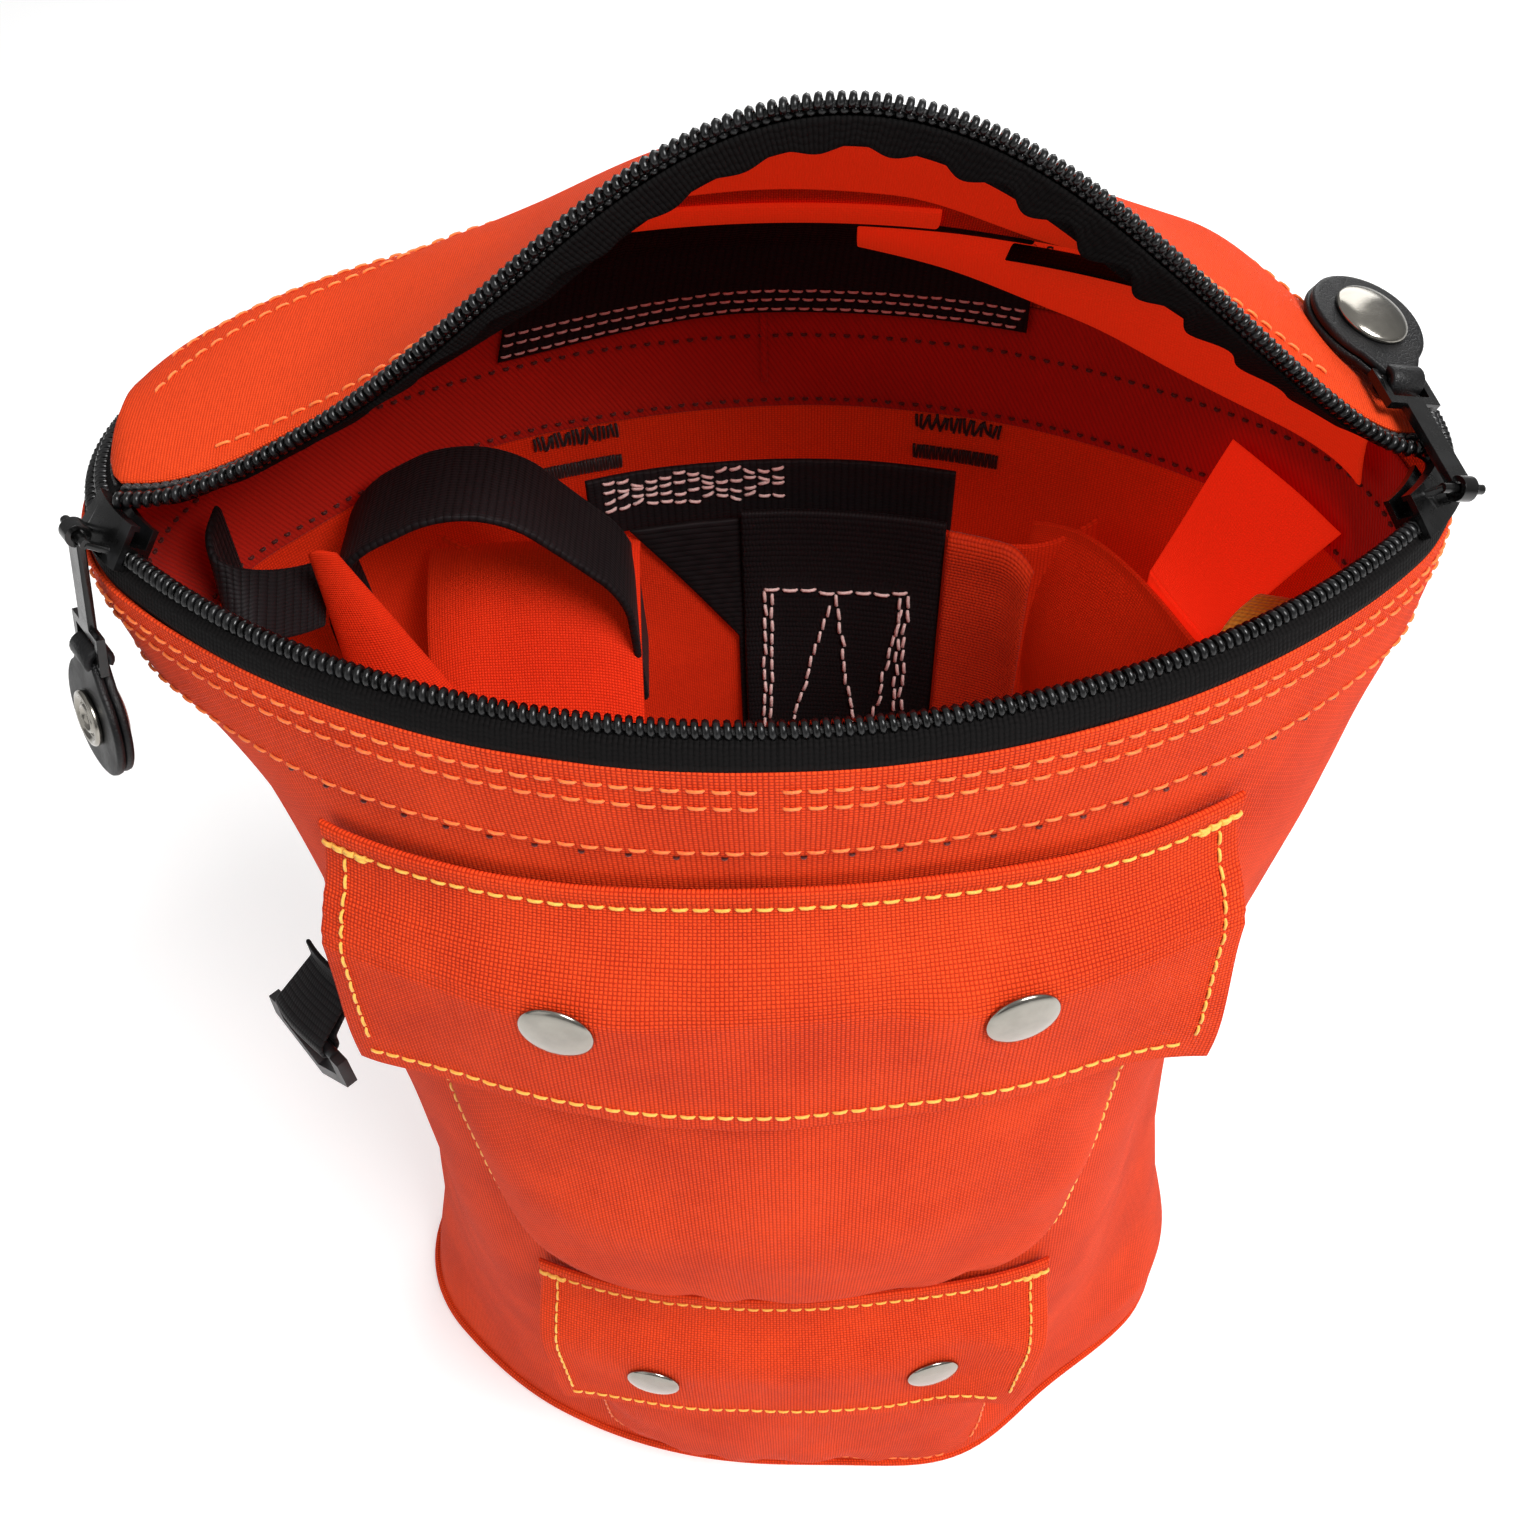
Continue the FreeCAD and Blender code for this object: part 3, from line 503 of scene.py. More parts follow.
def add_stitches(parts, run, pitch=4.0, gap=1.1, radius=0.34, wander=0.12, seed=1.0, lift=0.1):
    """Thread stitches along a walked run: each dives into the cloth at both ends."""
    dist = np.array([r[0] for r in run])
    pts = np.array([r[1] for r in run])
    nor = np.array([r[2] for r in run])

    def at(d):
        p = np.array([np.interp(d, dist, pts[:, k]) for k in range(3)])
        n = unit([np.interp(d, dist, nor[:, k]) for k in range(3)])
        return p, n
    count = int(dist[-1] / pitch)
    for k in range(count):
        start = k * pitch + gap / 2
        end = (k + 1) * pitch - gap / 2
        shift = wander * noise.noise(Vector((seed, k * 0.73, 0.2)))
        line = []
        for f, h in ((0.0, -0.35), (0.14, 0.45), (0.5, 0.8), (0.86, 0.45), (1.0, -0.35)):
            p, n = at(lerp(start, end, f))
            t = unit(at(min(end + 0.2, dist[-1]))[0] - at(start)[0])
            line.append(p + n * (radius * h + lift * (h > 0)) + np.cross(n, t) * shift * (1 + 2 * f))
        parts.add(*tube_mesh(line, [radius * 0.8, radius, radius, radius, radius * 0.8], 5))


def stitch_rows(name, surf, paths, material, body, how):
    """Rows of stitches as one object."""
    parts = Parts()
    for i, path in enumerate(paths):
        add_stitches(parts, walk(surf, path), seed=1.7 * i + 0.3, **how)
    return mesh_object(name, parts, material, body)


def straight(start, end, count):
    """Path of (u, v) corners from start to end in count steps."""
    return [(lerp(start[0], end[0], i / count), lerp(start[1], end[1], i / count)) for i in range(count + 1)]


def level_rows(vs, count=12):
    """Paths along a whole surface, one at each v."""
    return [straight((0, v), (1, v), count) for v in vs]


# ---- materials ----

class Net:
    """A Principled material that is built up node by node."""

    def __init__(self, name, **settings):
        self.material = bpy.data.materials.new(name)
        self.material.use_nodes = True
        self.tree = self.material.node_tree
        self.shader = self.tree.nodes["Principled BSDF"]
        self.set(**settings)
        self.uv = None

    def set(self, **settings):
        """Sets the shader's inputs by name, with _ for a space."""
        for key, value in settings.items():
            self.shader.inputs[key.replace("_", " ")].default_value = value

    def node(self, kind, **values):
        n = self.tree.nodes.new(kind)
        for key, value in values.items():
            setattr(n, key, value)
        return n

    def link(self, value, socket):
        if isinstance(value, bpy.types.NodeSocket):
            self.tree.links.new(value, socket)
        else:
            socket.default_value = value

    def math(self, operation, a, b=0.0, clamp=False):
        n = self.node("ShaderNodeMath", operation=operation, use_clamp=clamp)
        self.link(a, n.inputs[0])
        self.link(b, n.inputs[1])
        return n.outputs[0]

    def axes(self):
        """U and V in millimetres."""
        if self.uv is None:
            uv = self.node("ShaderNodeUVMap", uv_map="UVMap")
            split = self.node("ShaderNodeSeparateXYZ")
            self.link(uv.outputs[0], split.inputs[0])
            self.uv = (self.times(split.outputs[0], 100.0), self.times(split.outputs[1], 100.0))
        return self.uv

    def noise(self, scale, detail=3.0, stretch=(1, 1, 1)):
        """Noise in the object's own space; scale is lumps per metre."""
        coord = self.node("ShaderNodeTexCoord")
        mapping = self.node("ShaderNodeMapping")
        mapping.inputs["Scale"].default_value = stretch
        self.link(coord.outputs["Object"], mapping.inputs["Vector"])
        n = self.node("ShaderNodeTexNoise")
        n.inputs["Scale"].default_value = scale
        n.inputs["Detail"].default_value = detail
        n.inputs["Roughness"].default_value = 0.6
        self.link(mapping.outputs[0], n.inputs["Vector"])
        return n.outputs["Fac"]

    def sine(self, value, pitch):
        turned = self.math("MULTIPLY_ADD", value, pi / pitch)
        turned.node.inputs[2].default_value = 0.0
        return self.math("SINE", turned)

    def mix(self, factor, a, b):
        n = self.node("ShaderNodeMix", data_type="RGBA")
        self.link(factor, n.inputs["Factor"])
        self.link((*a, 1.0) if isinstance(a, tuple) else a, n.inputs["A"])
        self.link((*b, 1.0) if isinstance(b, tuple) else b, n.inputs["B"])
        return n.outputs["Result"]

    def span(self, value, lo, hi, out_lo=0.0, out_hi=1.0):
        n = self.node("ShaderNodeMapRange")
        self.link(value, n.inputs["Value"])
        for key, v in (("From Min", lo), ("From Max", hi), ("To Min", out_lo), ("To Max", out_hi)):
            n.inputs[key].default_value = v
        return n.outputs["Result"]

    def sum(self, a, b, clamp=False):
        return self.math("ADD", a, b, clamp)

    def times(self, a, b):
        return self.math("MULTIPLY", a, b)

    def bump(self, height, distance, strength=1.0, under=None):
        n = self.node("ShaderNodeBump")
        n.inputs["Strength"].default_value = strength
        n.inputs["Distance"].default_value = distance
        self.link(height, n.inputs["Height"])
        if under is not None:
            self.link(under, n.inputs["Normal"])
        return n.outputs["Normal"]

    def done(self, colour=None, normal=None, roughness=None):
        if colour is not None:
            self.link(colour, self.shader.inputs["Base Color"])
        if normal is not None:
            self.link(normal, self.shader.inputs["Normal"])
        if roughness is not None:
            self.link(roughness, self.shader.inputs["Roughness"])
        return self.material


def woven(name, lit, deep, pitch_u=0.85, pitch_v=0.7, height=0.0003, spots=0.16, glow=0.0):
    """Plain weave: pillow-like crossings with painted shade in the gaps between yarns, and patches of lighter
    and darker yarn.
    """
    net = Net(name, Roughness=0.82, Sheen_Weight=0.06, Sheen_Roughness=0.5, Specular_IOR_Level=0.12,
              Sheen_Tint=(*lit, 1.0))
    # glow: the cloth gives off its lit colour as light of its own, painted light standing for light coming
    # through the cloth
    if glow:
        net.set(Emission_Color=(*lit, 1.0), Emission_Strength=glow)
    u, v = net.axes()
    cross = net.times(net.sine(u, pitch_u), net.sine(v, pitch_v))
    pillow = net.math("POWER", net.math("ABSOLUTE", cross), 0.65)
    over = net.span(cross, -0.25, 0.25)
    patch = net.noise(38.0, 4.0)
    fine = net.noise(900.0, 2.0)
    # pillow paints shade into the gaps between yarns; over and the noise patches are the yarns' own tone
    shade = net.sum(net.span(pillow, 0.0, 1.0, 0.02, 0.95), net.span(over, 0, 1, -0.08, 0.09))
    shade = net.sum(shade, net.span(patch, 0.3, 0.7, -spots, spots))
    shade = net.sum(shade, net.span(fine, 0.3, 0.7, -0.07, 0.07), clamp=True)
    soft = net.bump(net.noise(110.0, 4.0), 0.0013, 0.3)
    normal = net.bump(pillow, height, 0.75, soft)
    return net.done(net.mix(shade, deep, lit), normal, net.span(pillow, 0, 1, 0.9, 0.7))


def twill(name, lit, deep):
    """Fine diagonal rib, for the facing band, with painted shade in the grooves between ribs."""
    net = Net(name, Roughness=0.8, Sheen_Weight=0.12, Specular_IOR_Level=0.2)
    u, v = net.axes()
    rib = net.math("ABSOLUTE", net.sine(net.sum(u, net.times(v, 0.6)), 1.2))
    patch = net.noise(45.0, 4.0)
    shade = net.sum(net.span(rib, 0, 1, 0.35, 0.85), net.span(patch, 0.3, 0.7, -0.12, 0.12), clamp=True)
    return net.done(net.mix(shade, deep, lit), net.bump(rib, 0.00018, 0.7))


def ribbed(name, lit, deep, rib=1.7, weft=0.9, roughness=0.62, sheen=0.1, spec=0.35):
    """Webbing or tape: ribs across its width, crossed by finer yarns, with painted shade in the low parts
    between ribs. U runs along the strip.
    """
    net = Net(name, Roughness=roughness, Sheen_Weight=sheen, Sheen_Roughness=0.4, Specular_IOR_Level=spec)
    u, v = net.axes()
    ridge = net.math("POWER", net.math("ABSOLUTE", net.sine(u, rib)), 0.7)
    yarn = net.math("ABSOLUTE", net.sine(net.sum(v, net.times(net.sine(u, 2 * rib), 0.22)), weft))
    height = net.sum(net.times(ridge, 0.7), net.times(yarn, 0.35))
    patch = net.noise(60.0, 4.0)
    shade = net.sum(net.span(height, 0.1, 1.0, 0.1, 0.85), net.span(patch, 0.3, 0.7, -0.12, 0.12), clamp=True)
    return net.done(net.mix(shade, deep, lit), net.bump(height, 0.0003, 0.8))


def thread(name, lit, deep):
    """Twisted sewing thread."""
    net = Net(name, Roughness=0.55, Sheen_Weight=0.1)
    lump = net.noise(1400.0, 2.0)
    patch = net.noise(90.0, 3.0)
    shade = net.sum(net.span(lump, 0.3, 0.7, 0.2, 0.8), net.span(patch, 0.3, 0.7, -0.2, 0.2), clamp=True)
    return net.done(net.mix(shade, deep, lit), net.bump(lump, 0.00012, 0.6))


def enamel(name):
    """Gloss black enamel on cast metal, with faint orange peel and rubbed spots."""
    net = Net(name, Roughness=0.22, Coat_Weight=0.25, Coat_Roughness=0.12, Specular_IOR_Level=0.3)
    peel = net.noise(420.0, 2.0)
    rub = net.noise(150.0, 5.0)
    colour = net.mix(net.span(rub, 0.55, 0.8, 0.0, 0.6), (0.003, 0.003, 0.003), (0.014, 0.014, 0.016))
    return net.done(colour, net.bump(peel, 0.00012, 0.25), net.span(rub, 0.35, 0.75, 0.16, 0.4))


def glossy_plastic(name):
    """The zip coil's shiny black monofilament."""
    net = Net(name, Roughness=0.24, Specular_IOR_Level=0.4)
    mark = net.noise(260.0, 4.0)
    colour = net.mix(net.span(mark, 0.4, 0.8), (0.002, 0.002, 0.002), (0.009, 0.009, 0.010))
    return net.done(colour, net.bump(mark, 0.0001, 0.2), net.span(mark, 0.3, 0.7, 0.18, 0.36))


def nickel(name):
    """Polished nickel with hairline scuffs and slightly dull patches."""
    net = Net(name, Metallic=1.0, Roughness=0.14)
    tint = (0.36, 0.34, 0.30)
    hair = net.noise(700.0, 3.0, stretch=(1.0, 6.0, 1.0))
    dull = net.noise(160.0, 4.0)
    colour = net.mix(net.span(dull, 0.35, 0.7), tuple(c * 0.8 for c in tint), tint)
    return net.done(colour, net.bump(hair, 0.00004, 0.25), net.span(dull, 0.3, 0.75, 0.10, 0.26))


def leather(name):
    """Black leather: fine pebble grain, worn a little on the high spots."""
    net = Net(name, Roughness=0.46, Specular_IOR_Level=0.25)
    coord = net.node("ShaderNodeTexCoord")
    cells = net.node("ShaderNodeTexVoronoi", feature="DISTANCE_TO_EDGE")
    cells.inputs["Scale"].default_value = 1100.0
    net.link(coord.outputs["Object"], cells.inputs["Vector"])
    grain = net.span(cells.outputs["Distance"], 0.0, 0.12)
    wear = net.noise(120.0, 5.0)
    colour = net.mix(net.span(wear, 0.45, 0.8), (0.004, 0.004, 0.0045), (0.014, 0.013, 0.013))
    normal = net.bump(grain, 0.00008, 0.45, net.bump(wear, 0.0005, 0.3))
    return net.done(colour, normal, net.span(wear, 0.3, 0.75, 0.36, 0.6))


def moulded(name, low, high, roughness=0.5):
    """Moulded plastic with a fine spark-eroded texture."""
    net = Net(name, Roughness=roughness)
    grain = net.noise(1600.0, 2.0)
    patch = net.noise(70.0, 4.0)
    return net.done(net.mix(net.span(patch, 0.35, 0.7), low, high), net.bump(grain, 0.00006, 0.4),
                    net.span(patch, 0.3, 0.7, roughness - 0.08, roughness + 0.1))


def matt_floor():
    net = Net("floor_paper", Roughness=0.9, Emission_Color=(1.0, 1.0, 1.0, 1.0), Emission_Strength=0.30)
    patch = net.noise(3.0, 2.0)
    return net.done(net.mix(patch, (0.86, 0.86, 0.86), (0.89, 0.89, 0.885)))


ORANGE = woven("orange_cloth", (0.90, 0.072, 0.012), (0.40, 0.017, 0.003))
ORANGE_LID = woven("orange_lid_cloth", (0.95, 0.082, 0.014), (0.52, 0.028, 0.005), 0.6, 0.55, 0.0002, 0.08)
# Cloth under the lid: bright red and glowing (emission 0.30), painted light standing for light through the
# cloth
ORANGE_UNDER_PAINTED_GLOW = woven("orange_underside_painted_glow", (1.0, 0.040, 0.008), (0.72, 0.020, 0.005),
                     0.6, 0.55, 0.00015, 0.08, 0.30)
# Cloth inside the bag: redder and glowing (emission 0.09), painted light standing for light through the walls
ORANGE_INSIDE_PAINTED_GLOW = woven("orange_inside_painted_glow", (0.84, 0.036, 0.005), (0.50, 0.014, 0.003),
                      0.7, 0.6, 0.00022, 0.14, 0.09)
# Pouch cloth: saturated red with strong glow (emission 0.42), painted light standing for light shining
# through the cloth at the back right
ORANGE_POUCH_PAINTED_GLOW = woven("orange_pouch_painted_glow", (1.0, 0.028, 0.006), (0.86, 0.018, 0.005),
                   0.6, 0.55, 0.00015, 0.08, 0.42)
FACING = twill("facing_cloth", (0.60, 0.014, 0.003), (0.34, 0.007, 0.002))
WEBBING = ribbed("black_webbing_cloth", (0.013, 0.011, 0.012), (0.002, 0.002, 0.002), spec=0.14, sheen=0.02)
TAPE = ribbed("black_tape_cloth", (0.006, 0.005, 0.005), (0.001, 0.001, 0.001), 0.9, 1.3, 0.75, 0.0, 0.08)
BAND = ribbed("orange_band_cloth", (0.80, 0.050, 0.008), (0.34, 0.013, 0.002), 0.9, 0.9, 0.7, 0.05, 0.15)
YELLOW = ribbed("yellow_webbing_cloth", (0.86, 0.36, 0.028), (0.46, 0.15, 0.012), 1.2, 1.2, 0.6, 0.15, 0.3)
ORANGE_THREAD = thread("orange_thread", (1.0, 0.26, 0.045), (0.80, 0.12, 0.02))
YELLOW_THREAD = thread("yellow_thread", (1.0, 0.60, 0.10), (0.85, 0.36, 0.04))
WHITE_THREAD = thread("white_thread", (0.92, 0.72, 0.68), (0.66, 0.42, 0.38))
BLACK_THREAD = thread("black_thread_spun", (0.022, 0.02, 0.02), (0.006, 0.005, 0.005))
HOLE = thread("needle_hole", (0.14, 0.012, 0.006), (0.06, 0.006, 0.004))
COIL = glossy_plastic("zip_monofilament")
ENAMEL = enamel("black_enamel")
NICKEL = nickel("polished_nickel")
LEATHER = leather("black_tab_leather")
RING = moulded("black_moulding", (0.008, 0.008, 0.009), (0.02, 0.02, 0.022))
BOARD = moulded("base_moulding", (0.03, 0.03, 0.03), (0.06, 0.06, 0.06), 0.6)


# ---- bag walls and base ----

def wall_surface():
    def place(u, v):
        return wall(u * OVAL_L, v * WALL_TOP, -0.8)
    return Surface(place, 1.6, loop=True)


def make_wall():
    cloth("bag_wall", wall_surface(), 300, 110, ORANGE, "bag", ("front_panel", "back_panel"))


def make_rim_band():
    """Turned-over upper edge of the wall, a slightly raised band over the facing."""
    def place(u, v):
        z = lerp(WALL_TOP - HEM_TOP, WALL_TOP + 0.4, v)
        return wall(u * OVAL_L, z, 0.5 + 0.25 * sin(pi * v))
    surf = Surface(place, 0.9, loop=True)
    cloth("rim_band", surf, 300, 10, ORANGE, "bag", edge=0.6)
    rows = level_rows((0.83, 0.66, 0.07))
    stitch_rows("rim_stitches", surf, rows, ORANGE_THREAD, "bag", RIM_STITCH)
    low = wall_surface()
    holes = level_rows([(WALL_TOP - RIM_HOLES_DOWN) / WALL_TOP])
    stitch_rows("rim_needle_holes", low, holes, HOLE, "bag", RIM_HOLES)


def make_base():
    """Base panel and the board inside it, as crowned ovals."""
    def disc(inset, z0, z1, drop):
        parts = Parts()
        rings, count = 14, 160
        for top in (True, False):
            verts, faces, uvs = [], [], []
            for r in range(rings + 1):
                f = r / rings
                for k in range(count):
                    l = k / count * OVAL_L
                    x, y = oval(l, sag(l, 2.0) - inset)
                    lift = drop * (1 - f ** 2) * rough(x * f, y * f, 0, 50, 4.0)
                    verts.append((x * f, y * f, (z1 if top else z0) + lift))
                    uvs.append((x * f, y * f))
            for r in range(rings):
                for k in range(count):
                    n = (k + 1) % count
                    a, b, c, d = r * count + k, r * count + n, (r + 1) * count + n, (r + 1) * count + k
                    faces.append((a, d, c, b) if top else (a, b, c, d))
            parts.add(verts, faces, uvs)
        edge = (rings + 1) * count
        for k in range(count):
            n = (k + 1) % count
            a, b = rings * count + k, rings * count + n
            parts.faces.append((a, a + edge, b + edge, b))
        return parts
    mesh_object("base_cloth", disc(inset=1.4, z0=0.0, z1=2.0, drop=0.25), ORANGE, "bag", ("base_panel",))
    mesh_object("base_board_plate", disc(inset=5.1, z0=2.1, z1=4.6, drop=0.0), BOARD, "bag", ("base_board",))

    def binding(u, v):
        a = lerp(-0.5, 1.0, v) * pi / 2
        l = u * OVAL_L
        x, y = oval(l, -3.0 + 0.9 * cos(a) + sag(l, 8))
        return x, y, 7.5 + 5.0 * sin(a)
    cloth("base_seam_binding", Surface(binding, 0.6, loop=True), 200, 6, TAPE, "bag",
          ("base_binding",), 0.4)

    def piping(u, v):
        a = v * 2 * pi
        l = u * OVAL_L
        x, y = oval(l, 0.4 + 1.3 * cos(a) + sag(l, 3.0))
        return x, y, 3.2 + 1.3 * sin(a)
    cloth("base_edge_roll", Surface(piping, 0.3, loop=True), 200, 12, ORANGE, "bag", edge=0.2)


def make_linings():
    """Facing bands, seam tapes and the needle rows seen inside the rim."""
    def facing(u, v):
        z = lerp(*FACING_ZS, v)
        l = u * OVAL_L
        return wall(-l, z, -2.6 + 0.3 * sin(pi * v) + 0.4 * rough(l, z, 0, 30, 2.2))
    surf = Surface(facing, 0.9, loop=True)
    cloth("rim_facing_band", surf, 260, 8, FACING, "bag", ("rim_facing_front", "rim_facing_back"),
          0.5)
    rows = level_rows((0.07, 0.62))
    stitch_rows("facing_needle_holes", surf, rows, HOLE, "bag", FACING_HOLES)

    def seam_tape(end):
        def place(u, v):
            l = end + lerp(9.0, -9.0, u)
            return wall(l, lerp(14, 320, v), -2.4)
        return Surface(place, 0.8)
    cloths("seam_tapes", [seam_tape(RIGHT_L), seam_tape(LEFT_L)], 6, 60, TAPE, "bag",
           ("side_seam_tapes",), 0.5)

    def joint(u, v):
        return wall(BACK_L - lerp(9.0, 10.6, u) + 10, lerp(321.5, 346.5, v), -3.2)
    cloth("facing_join", Surface(joint, 0.7), 2, 8, FACING, "bag", edge=0.4)


# ---- zip ----

def zip_point(u, v):
    """(s, z) of a point of the tilted zip section."""
    return ZIP_S + (u + v) / sqrt(2), RIM_Z + (u - v) / sqrt(2)


def rim_frame(l):
    """(origin, along, out, across) of the zip at l round the rim; across points to the wall."""
    n = outward(l)
    along = np.cross((0.0, 0.0, 1.0), n)
    x, y = oval(l, ZIP_S)
    up = np.array([0.0, 0.0, 1.0])
    return np.array([x, y, RIM_Z]), along, unit(n + up), unit(n - up)


def arch_z(x):
    run = x - ARCH_PEAK_X
    if run > 0:
        return ARCH_H * max(0.0, cos(min(1.0, run / ARCH_RIGHT) * pi / 2)) ** ARCH_RIGHT_POWER
    return ARCH_H * max(0.0, cos(min(1.0, -run / ARCH_LEFT) * pi / 2)) ** ARCH_LEFT_POWER


ARCH_XS = np.linspace(-ARCH_X - 4.5, ARCH_X + 7.5, 400)
ARCH = Path([(x, ARCH_Y + 1.2 + 1.6 * sin(x / 31.0) - 7.5 * smooth(-80, -113, x), LID_Z + 1.0 + arch_z(x))
             for x in ARCH_XS])
ARCH_L = ARCH.length


def arch_point(l):
    return np.array(ARCH.at(l))


def arch_tilt(x):
    """Angle below level at which the lid's tape leaves the raised coil."""
    return radians(12 + 50 * min(1.0, arch_z(x) / 40.0))


def arch_frame(l):
    """(origin, along, out, across) along the raised edge; across points into the lid."""
    p = arch_point(l)
    along = unit(arch_point(min(l + 1, ARCH_L)) - arch_point(max(l - 1, 0)))
    a = arch_tilt(p[0])
    level = np.array([0.0, 1.0, 0.0])
    rise = unit(np.cross(along, level))
    if rise[2] < 0:
        rise = -rise
    across = unit(level * cos(a) - rise * sin(a))
    out = unit(rise * cos(a) + level * sin(a))
    return p, along, out, across


def add_teeth(parts, frame_at, start, end, side):
    """Monofilament turns of one half of a coil zip."""
    turn = [radians(-165 + 330 * k / 8) for k in range(9)]
    shape = [(0.1 + 0.95 * cos(a), 1.75 + 1.15 * sin(a), 0.1 * k - 0.4) for k, a in enumerate(turn)]
    count = int((end - start) / ZIP_PITCH)
    for k in range(count):
        origin, along, out, across = frame_at(start + (k + 0.5) * (end - start) / count)
        line = [origin + out * a + across * side * b + along * c for a, b, c in shape]
        parts.add(*tube_mesh(line, 0.66, 7, side_dir=along))


def add_cord(parts, frame_at, start, end, side):
    """The cord that the turns of one half are sewn round."""
    count = max(4, int((end - start) / 4))
    line = []
    for k in range(count + 1):
        origin, _, out, across = frame_at(lerp(start, end, k / count))
        line.append(origin + out * 0.05 + across * side * CORD_V)
    parts.add(*tube_mesh(line, CORD_R, 8))


def strip_surface(frame_at, start, end, side, section, thick=0.8):
    """Tape along a zip: section lists (u, v) from the coil outward."""
    path = Path(section)

    def place(u, v):
        origin, _, out, across = frame_at(lerp(start, end, u))
        a, b = path.at(v * path.length)
        return origin + out * a + across * side * b
    return Surface(place, thick)


def make_bottom_zip():
    """The bag's half of the zip: tape and stitches all round, coil up to the ends behind the lid."""
    coil_parts, cord_parts = Parts(), Parts()
    end = BACK_L - arc_l(ZIP_END_X)
    runs = ((0.0, end), (OVAL_L - end, OVAL_L))
    for start, stop in runs:
        add_teeth(coil_parts, rim_frame, start, stop, 1)
        add_cord(cord_parts, rim_frame, start, stop, 1)
    mesh_object("rim_zip_coil", coil_parts, COIL, "bag", ("bottom_zip_coil",))
    mesh_object("rim_zip_core", cord_parts, BLACK_THREAD, "bag")

    def tape(u, v):
        l = u * OVAL_L
        bow = ((zip_point(-0.6, 1.2)), zip_point(0.15, 4.6), (0.35, WALL_TOP + 1.8), (-0.5, WALL_TOP - 6.0))
        f = v * 3
        k = min(2, int(f))
        s = lerp(bow[k][0], bow[k + 1][0], f - k)
        z = lerp(bow[k][1], bow[k + 1][1], f - k)
        x, y = oval(l, s + 0.3 * rough(*oval(l), 0, 18, 5.5) * v * (1 - v) * 4)
        return x, y, z
    surf = Surface(tape, 0.8, loop=True)
    cloth("rim_zip_tape", surf, 300, 18, TAPE, "bag", ("bottom_zip_tape",), 0.4)
    rows = level_rows((0.22, 0.33))
    stitch_rows("rim_chain_stitch", surf, rows, BLACK_THREAD, "bag", RIM_CHAIN)


def make_zip_ends():
    """Folded ends of the zip standing out behind the lid."""
    def end_tab(sign):
        def place(u, v):
            l = BACK_L - sign * lerp(arc_l(ZIP_END_X) - 3, arc_l(ZIP_END_X) - 14, u)
            s = 0.9 + 1.3 * sin(v * pi) + 1.2 * v
            return wall(l, lerp(343, 361, v), s)
        return Surface(place, 1.4)
    cloths("zip_end_folds", [end_tab(1), end_tab(-1)], 6, 14, WEBBING, "bag", ("zip_end_tabs",),
           0.6)


def make_lid_zip():
    """The lid's half: along the raised edge, and closed beside the bag's coil behind the sliders."""
    coil_parts, cord_parts = Parts(), Parts()
    add_teeth(coil_parts, arch_frame, 0.0, ARCH_L, 1)
    add_cord(cord_parts, arch_frame, 0.0, ARCH_L, 1)
    start = RIGHT_L - END_R * (SLIDER_REST - SLIDER_HALF - radians(1))
    stop = BACK_L - arc_l(ZIP_END_X)
    closed = ((start, stop), (OVAL_L - stop, OVAL_L - start))
    for a, b in closed:
        add_teeth(coil_parts, rim_frame, a, b, -1)
        add_cord(cord_parts, rim_frame, a, b, -1)
    mesh_object("lid_zip_coil_turns", coil_parts, COIL, "lid", ("lid_zip_coil",))
    mesh_object("lid_zip_core", cord_parts, BLACK_THREAD, "lid")
    edge = [strip_surface(arch_frame, 0.0, ARCH_L, 1, [(-0.3, 2.5), (0.1, 3.9), (0.0, 11.5)], 0.8)]
    sides = [strip_surface(rim_frame, a, b, -1, [(-0.5, 1.0), (0.1, 3.6), (-2.2, 8.2), (-6.2, 12.4)], 0.8)
             for a, b in closed]
    parts = Parts()
    parts.add(*cloth_parts(edge[0], 200, 10, 0.4))
    for surf in sides:
        parts.add(*cloth_parts(surf, 60, 8, 0.4))
    mesh_object("lid_zip_tape_strip", parts, TAPE, "lid", ("lid_zip_tape",))
    stitches = Parts()
    for surf in edge + sides:
        for v in (0.30, 0.40):
            path = straight((0, v), (1, v), 10)
            run = walk(surf, path)
            add_stitches(stitches, run, seed=v, **LID_CHAIN)
            if surf is edge[0]:
                run = walk(surf, path, face=-1)
                add_stitches(stitches, run, seed=v, **LID_CHAIN)
    mesh_object("lid_chain_stitch", stitches, BLACK_THREAD, "lid")


# ---- lid ----

def lid_back_y(x):
    if abs(x) <= END_X + (END_R - LID_INSET) * cos(END_HALF):
        return sqrt((SIDE_R - LID_INSET) ** 2 - x ** 2) - SIDE_Y
    return sqrt(max(0.0, (END_R - LID_INSET) ** 2 - (abs(x) - END_X) ** 2))


def lid_front(x):
    """Point where the lid's cloth starts, on the tape below the raised coil."""
    l = float(np.interp(x, ARCH.points[:, 0], ARCH.run))
    origin, _, out, across = arch_frame(l)
    return origin + across * 7.0 + out * 0.6


LID_EDGE = 120.5


